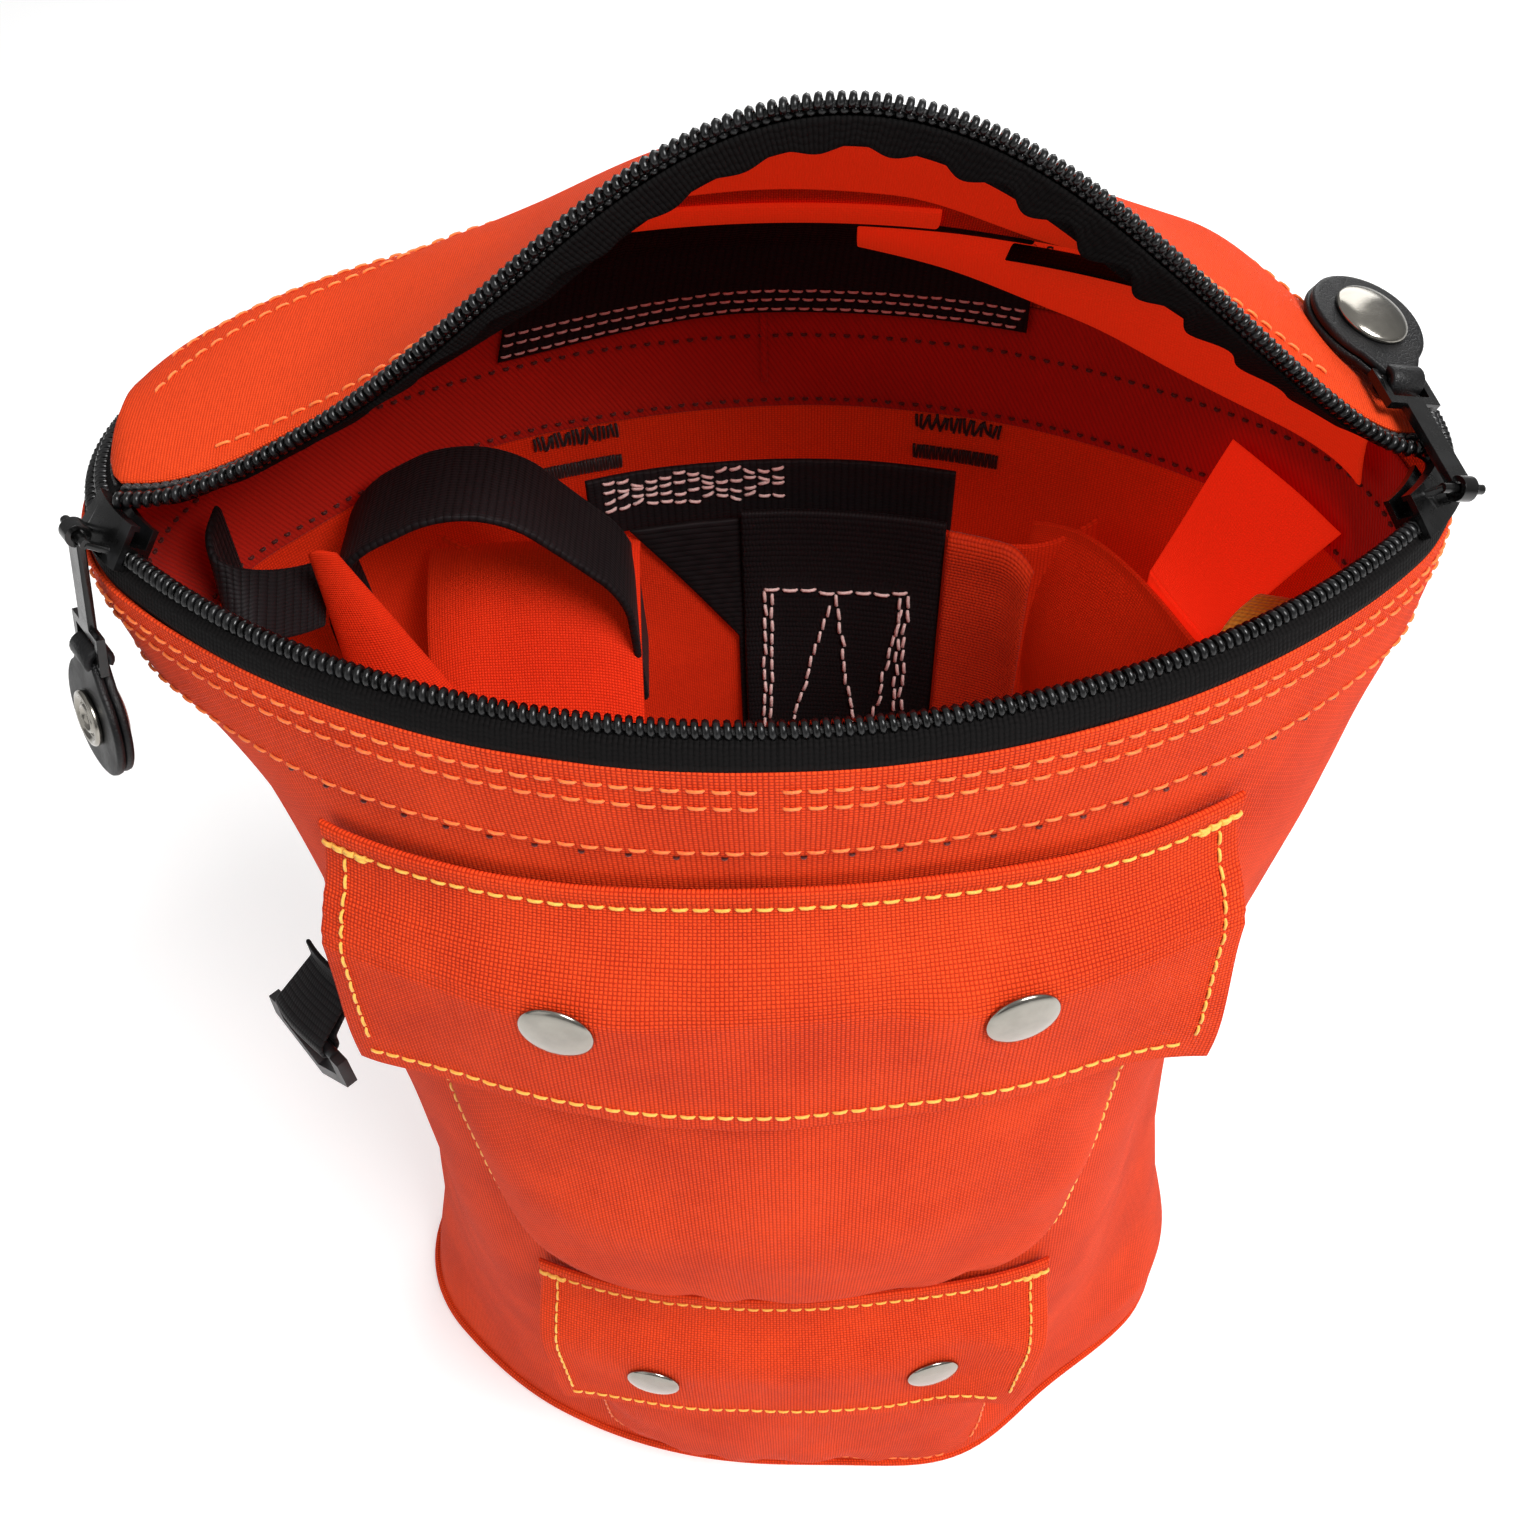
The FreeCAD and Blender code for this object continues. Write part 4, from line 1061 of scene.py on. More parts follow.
def lid_place(u, v):
    """Lid cloth: nearly straight from the raised edge down to the back rim, a little full in between."""
    x = lerp(-LID_EDGE, LID_EDGE, u)
    front_point = lid_front(x)
    front_point[1] = max(front_point[1], -lid_back_y(x) if abs(x) > 100 else -99.0)
    back_y = max(lid_back_y(x), front_point[1] + 1.0)
    y = lerp(front_point[1], back_y, v)
    rise = front_point[2] - LID_Z
    back_z = LID_Z + 1.2 * bell(x, 60) + 4.0 * bell(x + 90, 34)
    behind = lerp(2.5, 6.0, smooth(-90, -20, x)) * sin(pi * v ** 2.5)
    fullness = (5.0 * sin(pi * v) + behind) * smooth(0, 30, rise + 6)
    fullness += (3.0 * bell(x - 93, 24) + 4.0 * bell(x + 100, 26)) * sin(pi * v) ** 0.7
    droop = -3.0 * sin(pi * v) * bell(x + 70, 26)
    folds = 0.9 * rough(x, y, 0, 34, 9.1) + 1.3 * rough(x * 0.5, y, 0, 60, 2.9)
    z = lerp(front_point[2], back_z, v ** 1.08) + fullness + droop + folds * sin(pi * v) ** 0.6
    return x, y, z


def make_lid():
    surf = Surface(lid_place, 1.6)
    panel = cloth("lid_cloth", surf, 150, 60, ORANGE_LID, "lid", ("lid_panel",), 0.8)

    def row(mm):
        """Stitch path mm inside the lid's outer edge, from one end round the back to the other."""
        path = []
        for i in range(2, 79):
            u = i / 80
            x = lerp(-LID_EDGE, LID_EDGE, u)
            span = max(lid_back_y(x) - lid_front(x)[1], 1.0)
            slope = 1.0 if abs(x) < END_X else min(3.5, 1 / max(0.25, sqrt(max(0.05, 1 - (
                (abs(x) - END_X) / (END_R - LID_INSET)) ** 2))))
            v = 1 - mm * slope / span
            if v > 0.06:
                path.append((u, v))
        return path
    rows = [row(3.5), row(11.0)]
    stitch_rows("lid_stitches", surf, rows, ORANGE_THREAD, "lid", LID_STITCH)
    front_row = [[(i / 60, max(0.02, 3.5 / max(20.0, lid_back_y(lerp(-LID_EDGE, LID_EDGE, i / 60)) + 14)))
                  for i in range(5, 56)]]
    stitch_rows("lid_front_stitches", surf, front_row, ORANGE_THREAD, "lid", LID_STITCH)


def make_lid_underside():
    """Scalloped tape under the lid's raised rim, the second layer, and the hem at the hinge."""
    def place(u, v):
        l = lerp(6.0, ARCH_L - 6.0, u)
        origin, _, out, across = arch_frame(l)
        strength = lerp(0.9, 1.9, smooth(0.45, 0.75, u))
        ripple = strength * sin(l / 14.0 * 2 * pi + 0.6 * sin(l / 37.0))
        depth = lerp(3.0, lerp(4.6, 9.4, smooth(0.22, 0.40, u)) + ripple, v)
        return origin + across * depth - out * (1.2 + 0.9 * v)
    cloth("lid_underside_tape", Surface(place, 0.7), 300, 10, TAPE, "lid", edge=0.5)

    def lining(u, v):
        """The lid's second layer, a little way under the first."""
        end = lerp(0.90, 0.985, smooth(0.62, 0.80, u))
        x, y, z = lid_place(lerp(0.04, 0.96, u), lerp(0.0, end, v))
        return x, y + 0.3, z - 1.5 - 0.5 * sin(pi * v)
    cloth("lid_lining_cloth", Surface(lining, 0.7), 110, 44, ORANGE_UNDER_PAINTED_GLOW, "lid", edge=0.4)

    def drape(u, v):
        """The second layer hangs lower and lower inside the rim towards the right end."""
        l = lerp(BACK_L - arc_l(22.0), RIGHT_L + 8.0, u)
        depth = lerp(3.0, 27.0, smooth(-0.3, 0.9, u))
        x, y = oval(l, -7.5 - 2.0 * sin(pi * v) - 1.6 * u)
        return x, y, 366.8 - depth * (1 - v) + 0.8 * rough(x, y, 0, 24, 7.3)
    cloth("lid_underside_drape", Surface(drape, 1.0), 70, 14, ORANGE_UNDER_PAINTED_GLOW, "lid", edge=0.5)

    def hem(u, v):
        x = lerp(-36.0, 38.0, u)
        y = lid_back_y(x) - lerp(0.5, 6.0, v)
        return x, y - 1.0 * sin(pi * v), lerp(366.4, 373.0, v) - 0.6 * sin(pi * v)
    cloth("lid_inner_hem", Surface(hem, 1.3), 50, 10, ORANGE_UNDER_PAINTED_GLOW, "lid", ("lid_hem",), 0.6)


def make_hinge():
    """Black webbing inside the back wall that the lid bends on."""
    half = arc_l(HINGE_X)

    def place(u, v):
        run = lerp(-half - 10 * (1 - v), half + 8, u)
        l = BACK_L - run
        low = 341.0 - 4.0 * smooth(0.0, -half - 8, run)
        z = lerp(low, 367.8, v)
        x, y = oval(l, -4.4 - 4.8 * smooth(0.62, 1.0, v))
        return x, y, z
    surf = Surface(place, 1.5)
    piece = cloth("hinge_webbing", surf, 70, 22, WEBBING, None, ("lid_hinge_strip",), 0.6)
    y = float(oval(BACK_L, -4.4)[1])
    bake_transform(piece)
    lines = level_rows((0.05, 0.14, 0.22), 10)
    stitch_rows("hinge_stitches", surf, lines, WHITE_THREAD, "bag", HINGE_STITCH)


# ---- pockets and flaps ----

def bulge_raw(pocket, z):
    """Stand-off of the CAD pocket's face at height z."""
    zs, ss = zip(*reversed(pocket["bulge"]))
    return float(np.interp(z, zs, ss))


def bulge_at(pocket, z):
    """The same, smoothed."""
    return sum(bulge_raw(pocket, z + d) for d in (-8, -4, 0, 4, 8)) / 5


def pocket_half(pocket, z):
    t = (z - pocket["bottom"]) / (pocket["top"] - pocket["bottom"])
    return lerp(pocket["half_bottom"], pocket["half_top"], t)


def pocket_surface(pocket, seed):
    def place(u, v):
        z = lerp(pocket["bottom"] - 0.5, pocket["top"], v)
        half = pocket_half(pocket, z)
        w = 2 * u - 1
        corner = max(0.0, 1 - v / 0.18)
        half -= 10.0 * corner ** 2 * 0.9
        l = w * half
        edge = max(0.0, 1 - abs(w) ** 5) ** 0.6
        low = smooth(-0.01, 0.09, v)
        crease = 0.9 * sin(w * 19 + 3 * rough(l, z, 0, 30, seed)) * (1 - smooth(0.02, 0.30, v)) * edge
        side_folds = 0.8 * sin(z / 6.5 + 2 * w) * bell((1 - abs(w)) * half - 8, 7) * smooth(0.1, 0.3, v)
        lumps = 1.3 * rough(l, z, 1.0, 44, seed) + 0.6 * rough(l, z, 2.0, 19, seed + 3)
        s = 0.5 + (bulge_at(pocket, z) - 0.9) * edge * low
        s += (crease + side_folds + lumps * 0.9 * (1 - smooth(0.82, 0.98, v))) * edge * low
        return wall(l + pocket["shift"], z, s)
    return Surface(place, 1.4)


def make_pocket(prefix, pocket, seed):
    surf = pocket_surface(pocket, seed)
    cloth(f"{prefix}_pocket_cloth", surf, 110, 84, ORANGE, "bag",
          (f"{prefix}_pocket", f"{prefix}_pocket_hem"))
    half = pocket["half_top"]
    e = 2.6 / (2 * half)
    side = [[(e, v / 20) for v in range(20, 0, -1)], [(1 - e, v / 20) for v in range(20, 0, -1)]]
    foot = [straight((e, 0.018), (1 - e, 0.018), 20)]
    colour = YELLOW_THREAD if prefix == "upper" else ORANGE_THREAD
    stitch_rows(f"{prefix}_pocket_stitches", surf, side + foot, colour, "bag", POCKET_STITCH)

    def hem(u, v):
        w = lerp(0.045, 0.955, u)
        z = lerp(pocket["top"] - 11, pocket["top"] + 0.3, v)
        share = (z - pocket["bottom"] + 0.5) / (pocket["top"] - pocket["bottom"] + 0.5)
        return surf.side(w, share * 0.998, -0.25)
    cloth(f"{prefix}_mouth_hem", Surface(hem, 0.7), 60, 6, ORANGE, "bag", edge=0.5)


def flap_stand(flap, pocket, z):
    """Stand-off of the flap's middle surface: sewn down at the top, over the pocket lower down."""
    near = bulge_raw(pocket, flap["cap_z"]) + CAP_STAND
    top = flap["top"]
    zs = [flap["bottom"], flap["cap_z"] - 8, flap["cap_z"] + 8, pocket["top"], top - 2, top + 8]
    ss = [near + 0.4, near, near, max(near - 1.2, 6.5), 1.2, 0.9]
    return float(np.interp(z, zs, ss)) + FLAP_T / 2


def flap_surface(flap, pocket, seed):
    """Flap cloth; its lower corners are lifted, drawn in and dropped by the sizes for its left and right."""
    def place(u, v):
        z = lerp(flap["bottom"], flap["top"] + FLAP_FOLD - 4, v)
        w = 2 * u - 1
        side = 0 if w < 0 else 1
        fall = (flap["top"] - z) / (flap["top"] - flap["bottom"])
        narrow = flap["taper"][side] * max(0.0, fall) * smooth(0.5, 1.0, abs(w))
        l = w * (flap["half"] - narrow + 0.6 * rough(0, z, 0, 30, seed))
        near_cap = hypot(abs(l) - flap["cap_x"], z - flap["cap_z"])
        free = smooth(0.0, 0.5, fall) * smooth(9, 24, near_cap)
        s = sum(flap_stand(flap, pocket, z + d) for d in (-5, -2.5, 0, 2.5, 5)) / 5
        s += free * (1.2 * rough(l, z, 0, 36, seed) + 0.4 * rough(l, z, 0, 15, seed + 2))
        s += smooth(0.1, 1.0, fall) * flap["lift"][side] * abs(w) ** 5
        s -= sag(l + pocket["shift"], z) * (1 - smooth(9, 24, near_cap)) * smooth(0.2, 0.4, fall)
        fold = smooth(flap["top"] - 1, flap["top"] + 2, z)
        s += fold * 0.9 * sin(min(1.0, max(0.0, (z - flap["top"] + 1) / 6.0)) * pi)
        x, y, zz = wall(l + pocket["shift"], z, s)
        return x, y, zz - flap["drop"][side] * abs(w) ** 4 * (1 - v) + flap["rise"] * bell(w, 0.55) * v
    return Surface(place, 2.0)


def make_flap(prefix, flap, pocket, seed):
    surf = flap_surface(flap, pocket, seed)
    top = flap["top"]
    span = (top + FLAP_FOLD - 4) - flap["bottom"]
    piece = cloth(f"{prefix}_flap_cloth", surf, 110, 44, ORANGE, None,
                  (f"{prefix}_flap", f"{prefix}_flap_hem"), 1.1)
    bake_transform(piece)
    inset_u = 5.5 / (2 * flap["half"])
    inset_v = 5.5 / span
    v_top = (top - flap["bottom"] - 0.5) / span
    paths = [
        straight((0.008, v_top), (0.992, v_top), 30),
        straight((inset_u, v_top - 0.03), (inset_u, inset_v + 0.03), 10),
        straight((1 - inset_u, v_top - 0.03), (1 - inset_u, inset_v + 0.03), 10),
        straight((inset_u * 0.8, inset_v), (1 - inset_u * 0.8, inset_v), 30),
    ]
    rows = stitch_rows(f"{prefix}_flap_stitches", surf, paths, YELLOW_THREAD, None, FLAP_STITCH)
    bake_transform(rows)
    tacks = Parts()
    for u0, u1 in ((0.003, 0.06), (0.997, 0.94)):
        for k in range(3):
            run = walk(surf, [(u0, v_top + 0.004 * (k - 1)), (u1, v_top + 0.012 * (k - 1))])
            add_stitches(tacks, run, seed=k + u0, **FLAP_TACK)
    tack = mesh_object(f"{prefix}_flap_backtacks", tacks, YELLOW_THREAD, None)
    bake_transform(tack)


# ---- snaps ----

def lathe(profile):
    """(verts, faces) of a profile of (r, z) turned about Z."""
    turns = [2 * pi * k / LATHE_SIDES for k in range(LATHE_SIDES)]
    verts = [(r * cos(a), r * sin(a), z) for r, z in profile for a in turns]
    return verts, ring_faces(len(profile), LATHE_SIDES)


def cap_profile():
    """Snap cap: turned-under edge, a shallow dome."""
    dome = [(CAP_R * cos(a), 0.55 + 1.75 * sin(a)) for a in np.linspace(0.0, pi / 2, 14)]
    return [(0.0, 0.0), (CAP_R - 0.9, 0.0), (CAP_R - 0.3, 0.06), (CAP_R, 0.3)] + dome


def socket_profile():
    """Snap socket: rolled outer ring, a step, an inner ring and the hole."""
    return [(0.01, 0.55), (1.5, 0.55), (2.1, 0.6), (2.3, 1.35), (2.6, 1.62), (2.95, 1.45), (3.1, 0.95),
            (3.7, 0.8), (4.1, 1.0), (4.5, 1.55), (5.0, 1.75), (5.5, 1.5), (5.7, 1.0), (5.6, 0.3),
            (5.3, 0.0), (0.01, 0.0)]


def stud_profile():
    """Snap stud: a flat plate and the knob on it."""
    return [(0.01, 0.0), (5.2, 0.0), (5.3, 0.5), (4.9, 0.9), (2.4, 0.95), (1.9, 1.2), (2.1, 1.9),
            (1.7, 2.3), (0.01, 2.4)]


def front_frame(x, z, s, shift):
    """(origin, right, up, out) on the CAD bag's front at x, z, standing off by s."""
    l = arc_l(x) + shift
    px, py = oval(l, s)
    n = outward(l)
    return np.array([px, py, z]), unit(np.cross((0, 0, 1.0), n)), np.array([0, 0, 1.0]), n


def add_placed(parts, verts, faces, origin, ax, ay, az):
    parts.add([origin + ax * v[0] + ay * v[1] + az * v[2] for v in verts], faces)


def make_snaps(prefix, flap, pocket):
    """A flap's caps and sockets, and the studs on its pocket."""
    base = bulge_raw(pocket, flap["cap_z"])
    rows = (
        ("caps", cap_profile(), base + CAP_STAND + FLAP_T + 0.3, f"{prefix}_flap", 1),
        ("sockets", socket_profile(), base + 4.1, f"{prefix}_flap", -1),
        ("studs", stud_profile(), base + 1.0, "bag", 1),
    )
    for kind, profile, s, body, face in rows:
        parts = Parts()
        for x in (-flap["cap_x"], flap["cap_x"]):
            o, ax, ay, az = front_frame(x, flap["cap_z"], s, pocket["shift"])
            verts, faces = lathe(profile)
            if face < 0:
                verts = [(v[0], -v[1], -v[2] * 0.7) for v in verts]
            add_placed(parts, verts, faces, o, ax, ay, az)
        mesh_object(f"{prefix}_{kind}", parts, NICKEL, body, (f"{prefix}_snap_{kind}",))


# ---- organizer inside ----

def row_xy(x, s):
    """(x, y) on the organizer's row at x, standing off towards the front by s."""
    a = asin(x / ROW_R)
    r = ROW_R - s
    return r * sin(a), r * cos(a) - SIDE_Y


def row_surface(x0, x1, z0, z1, s, thick, lump=0.0, seed=1.0):
    """Strip on the organizer's front; u runs so that the outer side faces the front."""
    def place(u, v):
        x = lerp(x0, x1, u)
        z = lerp(z0, z1, v)
        px, py = row_xy(x, s + lump * rough(x, z, 0, 28, seed))
        return px, py, z
    return Surface(place, thick)


def long_strip(x0, x1, z0, z1, s, thick, **more):
    """As row_surface, but u runs down the strip, so that webbing ribs lie across it."""
    base = row_surface(x0, x1, z0, z1, s, thick, **more)
    return Surface(lambda u, v: base.place(v, 1 - u), thick)


def make_organizer():
    """Panel at the back of the bag with its webs, the box-stitched strap and the dark piece."""
    half = ROW_HALF

    def panel(u, v):
        x = lerp(-half, half, u)
        z = lerp(ROW_BOTTOM, ROW_TOP, v)
        foot = 23.0 * (1 - smooth(0.0, 0.2, v))
        corner = 20.0 * abs(2 * u - 1) ** 14
        lump = (1.3 * rough(x, z, 0, 46, 6.3) + 0.6 * rough(x, z, 3, 21, 2.3)) * (1 - smooth(0.93, 1.0, v))
        puff = 4.0 * sin(pi * min(1.0, abs(x) / half * 1.02)) ** 2 * sin(pi * v) * (abs(x) > 1)
        px, py = row_xy(x, lump + puff * 0.2 - max(foot, corner))
        return px, py, z
    surf = Surface(panel, 1.6)
    cloth("organizer_cloth", surf, 110, 60, ORANGE_INSIDE_PAINTED_GLOW, "bag", ("organizer_panel",))

    def web(angle):
        def place(u, v):
            r = lerp(ROW_R + 1.5, SIDE_R - 2.5, v)
            a = radians(angle)
            return r * sin(a), r * cos(a) - SIDE_Y, lerp(ROW_BOTTOM + 26, ROW_TOP - 12, u)
        return Surface(place, 1.4)
    cloths("organizer_webs", [web(-12), web(12)], 20, 8, ORANGE_INSIDE_PAINTED_GLOW, "bag",
           ("organizer_dividers",))
    strap = long_strip(*STRAP_X, *STRAP_Z, 3.6, 1.8, lump=0.4)
    cloth("box_stitch_strap", strap, 60, 24, WEBBING, "bag", ("box_stitch_webbing",), 0.7)
    zig = Surface(strap.place, 1.8)

    def at(x, z):
        """(u, v) on the strap of a point of the white stitches."""
        return (STRAP_Z[1] - z) / (STRAP_Z[1] - STRAP_Z[0]), (x - STRAP_X[0]) / (STRAP_X[1] - STRAP_X[0])
    top, low = 281.5, 214.0
    lines = [
        [at(-2, top), at(16, top - 0.8), at(36, top + 1.2)],
        [at(-1.6, top), at(-2.4, low)], [at(0.4, top - 1), at(-0.6, low)],
        [at(35.2, top + 1), at(35.6, low)], [at(33.4, top), at(33.4, low)],
        [at(0.5, low), at(17, top - 1)], [at(17, top - 1), at(25, low)], [at(25, low), at(34, top - 2)],
    ]
    stitch_rows("box_stitches", zig, lines, WHITE_THREAD, "bag", BOX_STITCH)
    face = row_surface(*DARK_X, *DARK_Z, -3.0, 1.6, lump=1.0, seed=3.3)
    cloth("dark_stitched_piece", face, 60, 12, WEBBING, "bag", edge=0.6)
    lines = [[(lerp(0.04, 0.55, i / 8), v + 0.04 * sin(i * 2.1 + v * 9)) for i in range(9)]
             for v in (0.45, 0.60, 0.75, 0.88)]
    stitch_rows("dark_piece_stitches", face, lines, WHITE_THREAD, "bag", DARK_STITCH)
    make_orange_band()
    make_diagonal_webbing()


def make_orange_band():
    """Ribbed orange band beside the strap, its top right corner rounded."""
    def place(u, v):
        x = lerp(*BAND_X, v)
        over = max(0.0, (v - 0.62) / 0.38)
        z_top = BAND_TOP - 6.5 * over ** 2.2
        z = lerp(z_top, STRAP_Z[0], u)
        roll = 3.4 * sqrt(max(0.0, 1 - (1 - min(1.0, u * 20)) ** 2))
        px, py = row_xy(x, 2.2 + roll * 0.7 + 0.4 * rough(x, z, 0, 25, 1.9))
        return px, py, z
    cloth("ribbed_band", Surface(place, 2.6), 70, 18, BAND, "bag", ("orange_band",), 1.2)


def make_diagonal_webbing():
    """Strap end that slants behind the left edge of the box-stitched strap."""
    def place(u, v):
        z = lerp(*SLANT_Z, u)
        left = min(-8.5, -34.0 + (SLANT_Z[0] - z) * 0.66)
        x = lerp(left, -6.0, v)
        px, py = row_xy(x, 2.2 + 0.4 * rough(x, z, 0, 20, 8.8))
        return px, py, z
    cloth("slanting_strap", Surface(place, 1.4), 40, 12, WEBBING, "bag", ("diagonal_webbing",), 0.6)


def rounded_path(points, radius):
    """Path along corners that are rounded by radius."""
    pts = [np.array(p, float) for p in points]
    out = [pts[0]]
    for a, b, c in zip(pts, pts[1:], pts[2:]):
        d0, d1 = unit(a - b), unit(c - b)
        half = acos(max(-1.0, min(1.0, float(np.dot(d0, d1))))) / 2
        cut = min(radius / tan(half), 0.48 * np.linalg.norm(a - b), 0.48 * np.linalg.norm(c - b))
        for t in np.linspace(0, 1, 14):
            knee = 2 * t * (1 - t) * (b + (d0 + d1) * cut * 0.12)
            out.append((1 - t) ** 2 * (b + d0 * cut) + knee + t ** 2 * (b + d1 * cut))
    out.append(pts[-1])
    return Path(out)


def loop_surface(points, radius, y0, y1, thick, twist=0.0, lean=0.0):
    """Webbing bent along (x, z) corners, y0 to y1 wide; u runs along it."""
    path = rounded_path(points, radius)

    def place(u, v):
        x, z = path.at(u * path.length)
        tw = twist * (u - 0.5)
        y = lerp(y1, y0, v) + lean * (u - 0.5)
        w = v - 0.5
        return x + tw * w * 8, y, z + tw * w * 14 + 0.5 * rough(x, y, z, 20, 4.4)
    return Surface(place, thick)


LEFT_LOOP = ((-32, 266), (-33, 303), (-62, 337), (-99, 320), (-88, 240))
YELLOW_PATH = ((86, -24, 292), (86, -21, 303), (89, -15, 311), (97, -5, 315), (105, 3, 314), (109, 6, 305),
               (109, 6, 288))
YELLOW_WIDTH = 12.0


def yellow_surface():
    """Yellow webbing that rises from the front rim to the right and turns down again."""
    path = Path(YELLOW_PATH)

    def place(u, v):
        near = [path.at(u * path.length + d) for d in (-3, -1.5, 0, 1.5, 3)]
        x, y, z = (float(np.mean(column)) for column in zip(*near))
        w = 1 - v
        return x + YELLOW_WIDTH * w, y - 1.5 * w, z - 1.5 * w + 0.4 * rough(x, y, z, 18, 4.4)
    return Surface(place, 1.6)


def make_inner_straps():
    """Straps, folds and puffed cloth at both ends of the organizer."""
    left = loop_surface(LEFT_LOOP, radius=20, y0=11, y1=36, thick=1.8, twist=-0.3, lean=-20)
    cloth("left_loop_strap", left, 90, 20, WEBBING, "bag", ("left_loop_webbing",), 0.7)

    def end_strap(u, v):
        """Sewn down the end wall at u = 0, and lying out to the right at u = 1."""
        off = smooth(0.1, 0.6, u)
        x = -114.5 + 17.0 * smooth(0.2, 1.0, u)
        y = lerp(11, -2, smooth(0, 0.4, u)) + 18 * smooth(0.4, 1.0, u) - lerp(0, 13, off) * (1 - v)
        z = 338.0 - 19.0 * smooth(0.15, 1.0, u) - lerp(38, 8, off) * (1 - v)
        return x, y, z + 0.8 * rough(x, y, z, 22, 5.1)
    cloth("left_end_strap", Surface(end_strap, 1.7), 44, 22, WEBBING, "bag", ("left_end_webbing",),
          0.7)

    def fold(u, v):
        a = lerp(-1.45, 1.45, u)
        half = lerp(17.0, 2.4, v)
        x = -93 + 16 * (1 - v) + half * sin(a)
        y = 4 - half * 0.55 * cos(a)
        z = lerp(262, 331, v) + 2.0 * cos(a) * v
        return x, y, z + 1.5 * rough(x, y, z, 18, 2.0)
    cloth("orange_fold_cloth", Surface(fold, 1.2), 30, 40, ORANGE_INSIDE_PAINTED_GLOW, "bag", ("orange_fold",),
          0.6)

    def puff(u, v):
        """Cloth of the organizer's left pocket, pushed out through the loop."""
        x = lerp(-82, -31, u)
        y = lerp(2, 44, v)
        z = 256 + 42 * sin(v * pi / 2) + 7 * sin(pi * u) * sin(pi * v)
        return x, y, z + 2.6 * rough(x, y, 0, 17, 6.2)
    cloth("left_pocket_puff", Surface(puff, 1.4), 50, 40, ORANGE_INSIDE_PAINTED_GLOW, "bag", edge=0.6)
    cloth("yellow_loop_strap", yellow_surface(), 80, 20, YELLOW, "bag", ("yellow_loop",), 0.6)
    make_pouch()


def make_pouch():
    """Soft pouch at the right end, the pillow of cloth beside it and a glowing sheet over the inner wall,
    painted light that brightens the wall from inside.
    """
    corners = [np.array(c, float) for c in ((87, 22, 305), (98, 5, 297), (103, 35, 331), (123, 12, 323))]

    def mouth(u, v):
        low = corners[0] * (1 - u) + corners[1] * u
        high = corners[2] * (1 - u) + corners[3] * u
        x, y, z = low * (1 - v) + high * v
        return x, y, z - 5.0 * sin(pi * u) * sin(pi * v) + 1.2 * rough(x, y, z, 20, 3.9)

    def front(u, v):
        x, y, z = mouth(u, 0.0)
        return x + 2 * (1 - v), y + 4 * (1 - v), lerp(206, z, v) + 0.2
    pouch = [Surface(mouth, 1.3), Surface(front, 1.3)]
    cloths("right_pouch_cloth", pouch, 40, 40, ORANGE_POUCH_PAINTED_GLOW, "bag", ("right_pouch",), 0.7)

    def pillow(u, v):
        x = (1 - u) ** 2 * 64 + 2 * u * (1 - u) * 81 + u ** 2 * 97
        y = (1 - u) ** 2 * 46 + 2 * u * (1 - u) * 37 - u ** 2 * 4
        inward = 10.0 * sin(pi * min(1.0, v * 1.04)) ** 0.8 * sin(pi * min(1.0, 0.12 + u * 0.88))
        x -= inward * 0.72
        y -= inward * 0.70
        z = lerp(236, 300 + 3.0 * sin(pi * u), v)
        return x, y, z + 1.6 * rough(x, y, z, 22, 1.4)
    cloth("right_pocket_pillow", Surface(pillow, 1.4), 50, 44, ORANGE_INSIDE_PAINTED_GLOW, "bag", edge=0.7)

    # Glowing sheet just inside the wall: painted light on the inner wall
    def inner_wall(u, v):
        l = u * OVAL_L
        return wall(-l, lerp(*GLOW_SHEET_ZS, v), -2.1)
    cloth("bag_wall_painted_glow_sheet", Surface(inner_wall, 0.6, loop=True), 200, 30, ORANGE_INSIDE_PAINTED_GLOW, "bag",
          edge=0.4)


# ---- back ----

def loop_path():
    out = LOOP_STAND + 0.8
    return [(0.9, LOOP_TOP), (0.9, LOOP_TOP - 12), (out, LOOP_TOP - 22), (out, LOOP_BOTTOM + 22),
            (0.9, LOOP_BOTTOM + 12), (0.9, LOOP_BOTTOM)]


def belt_surface(x):
    path = rounded_path(loop_path(), 7)

    def place(u, v):
        s, z = path.at(u * path.length)
        l = BACK_L - arc_l(x) + lerp(-LOOP_W / 2, LOOP_W / 2, v)
        px, py = oval(l, s + sag(l, z) * smooth(0, 12, 12 - s))
        return px, py, z
    return Surface(place, 1.6)


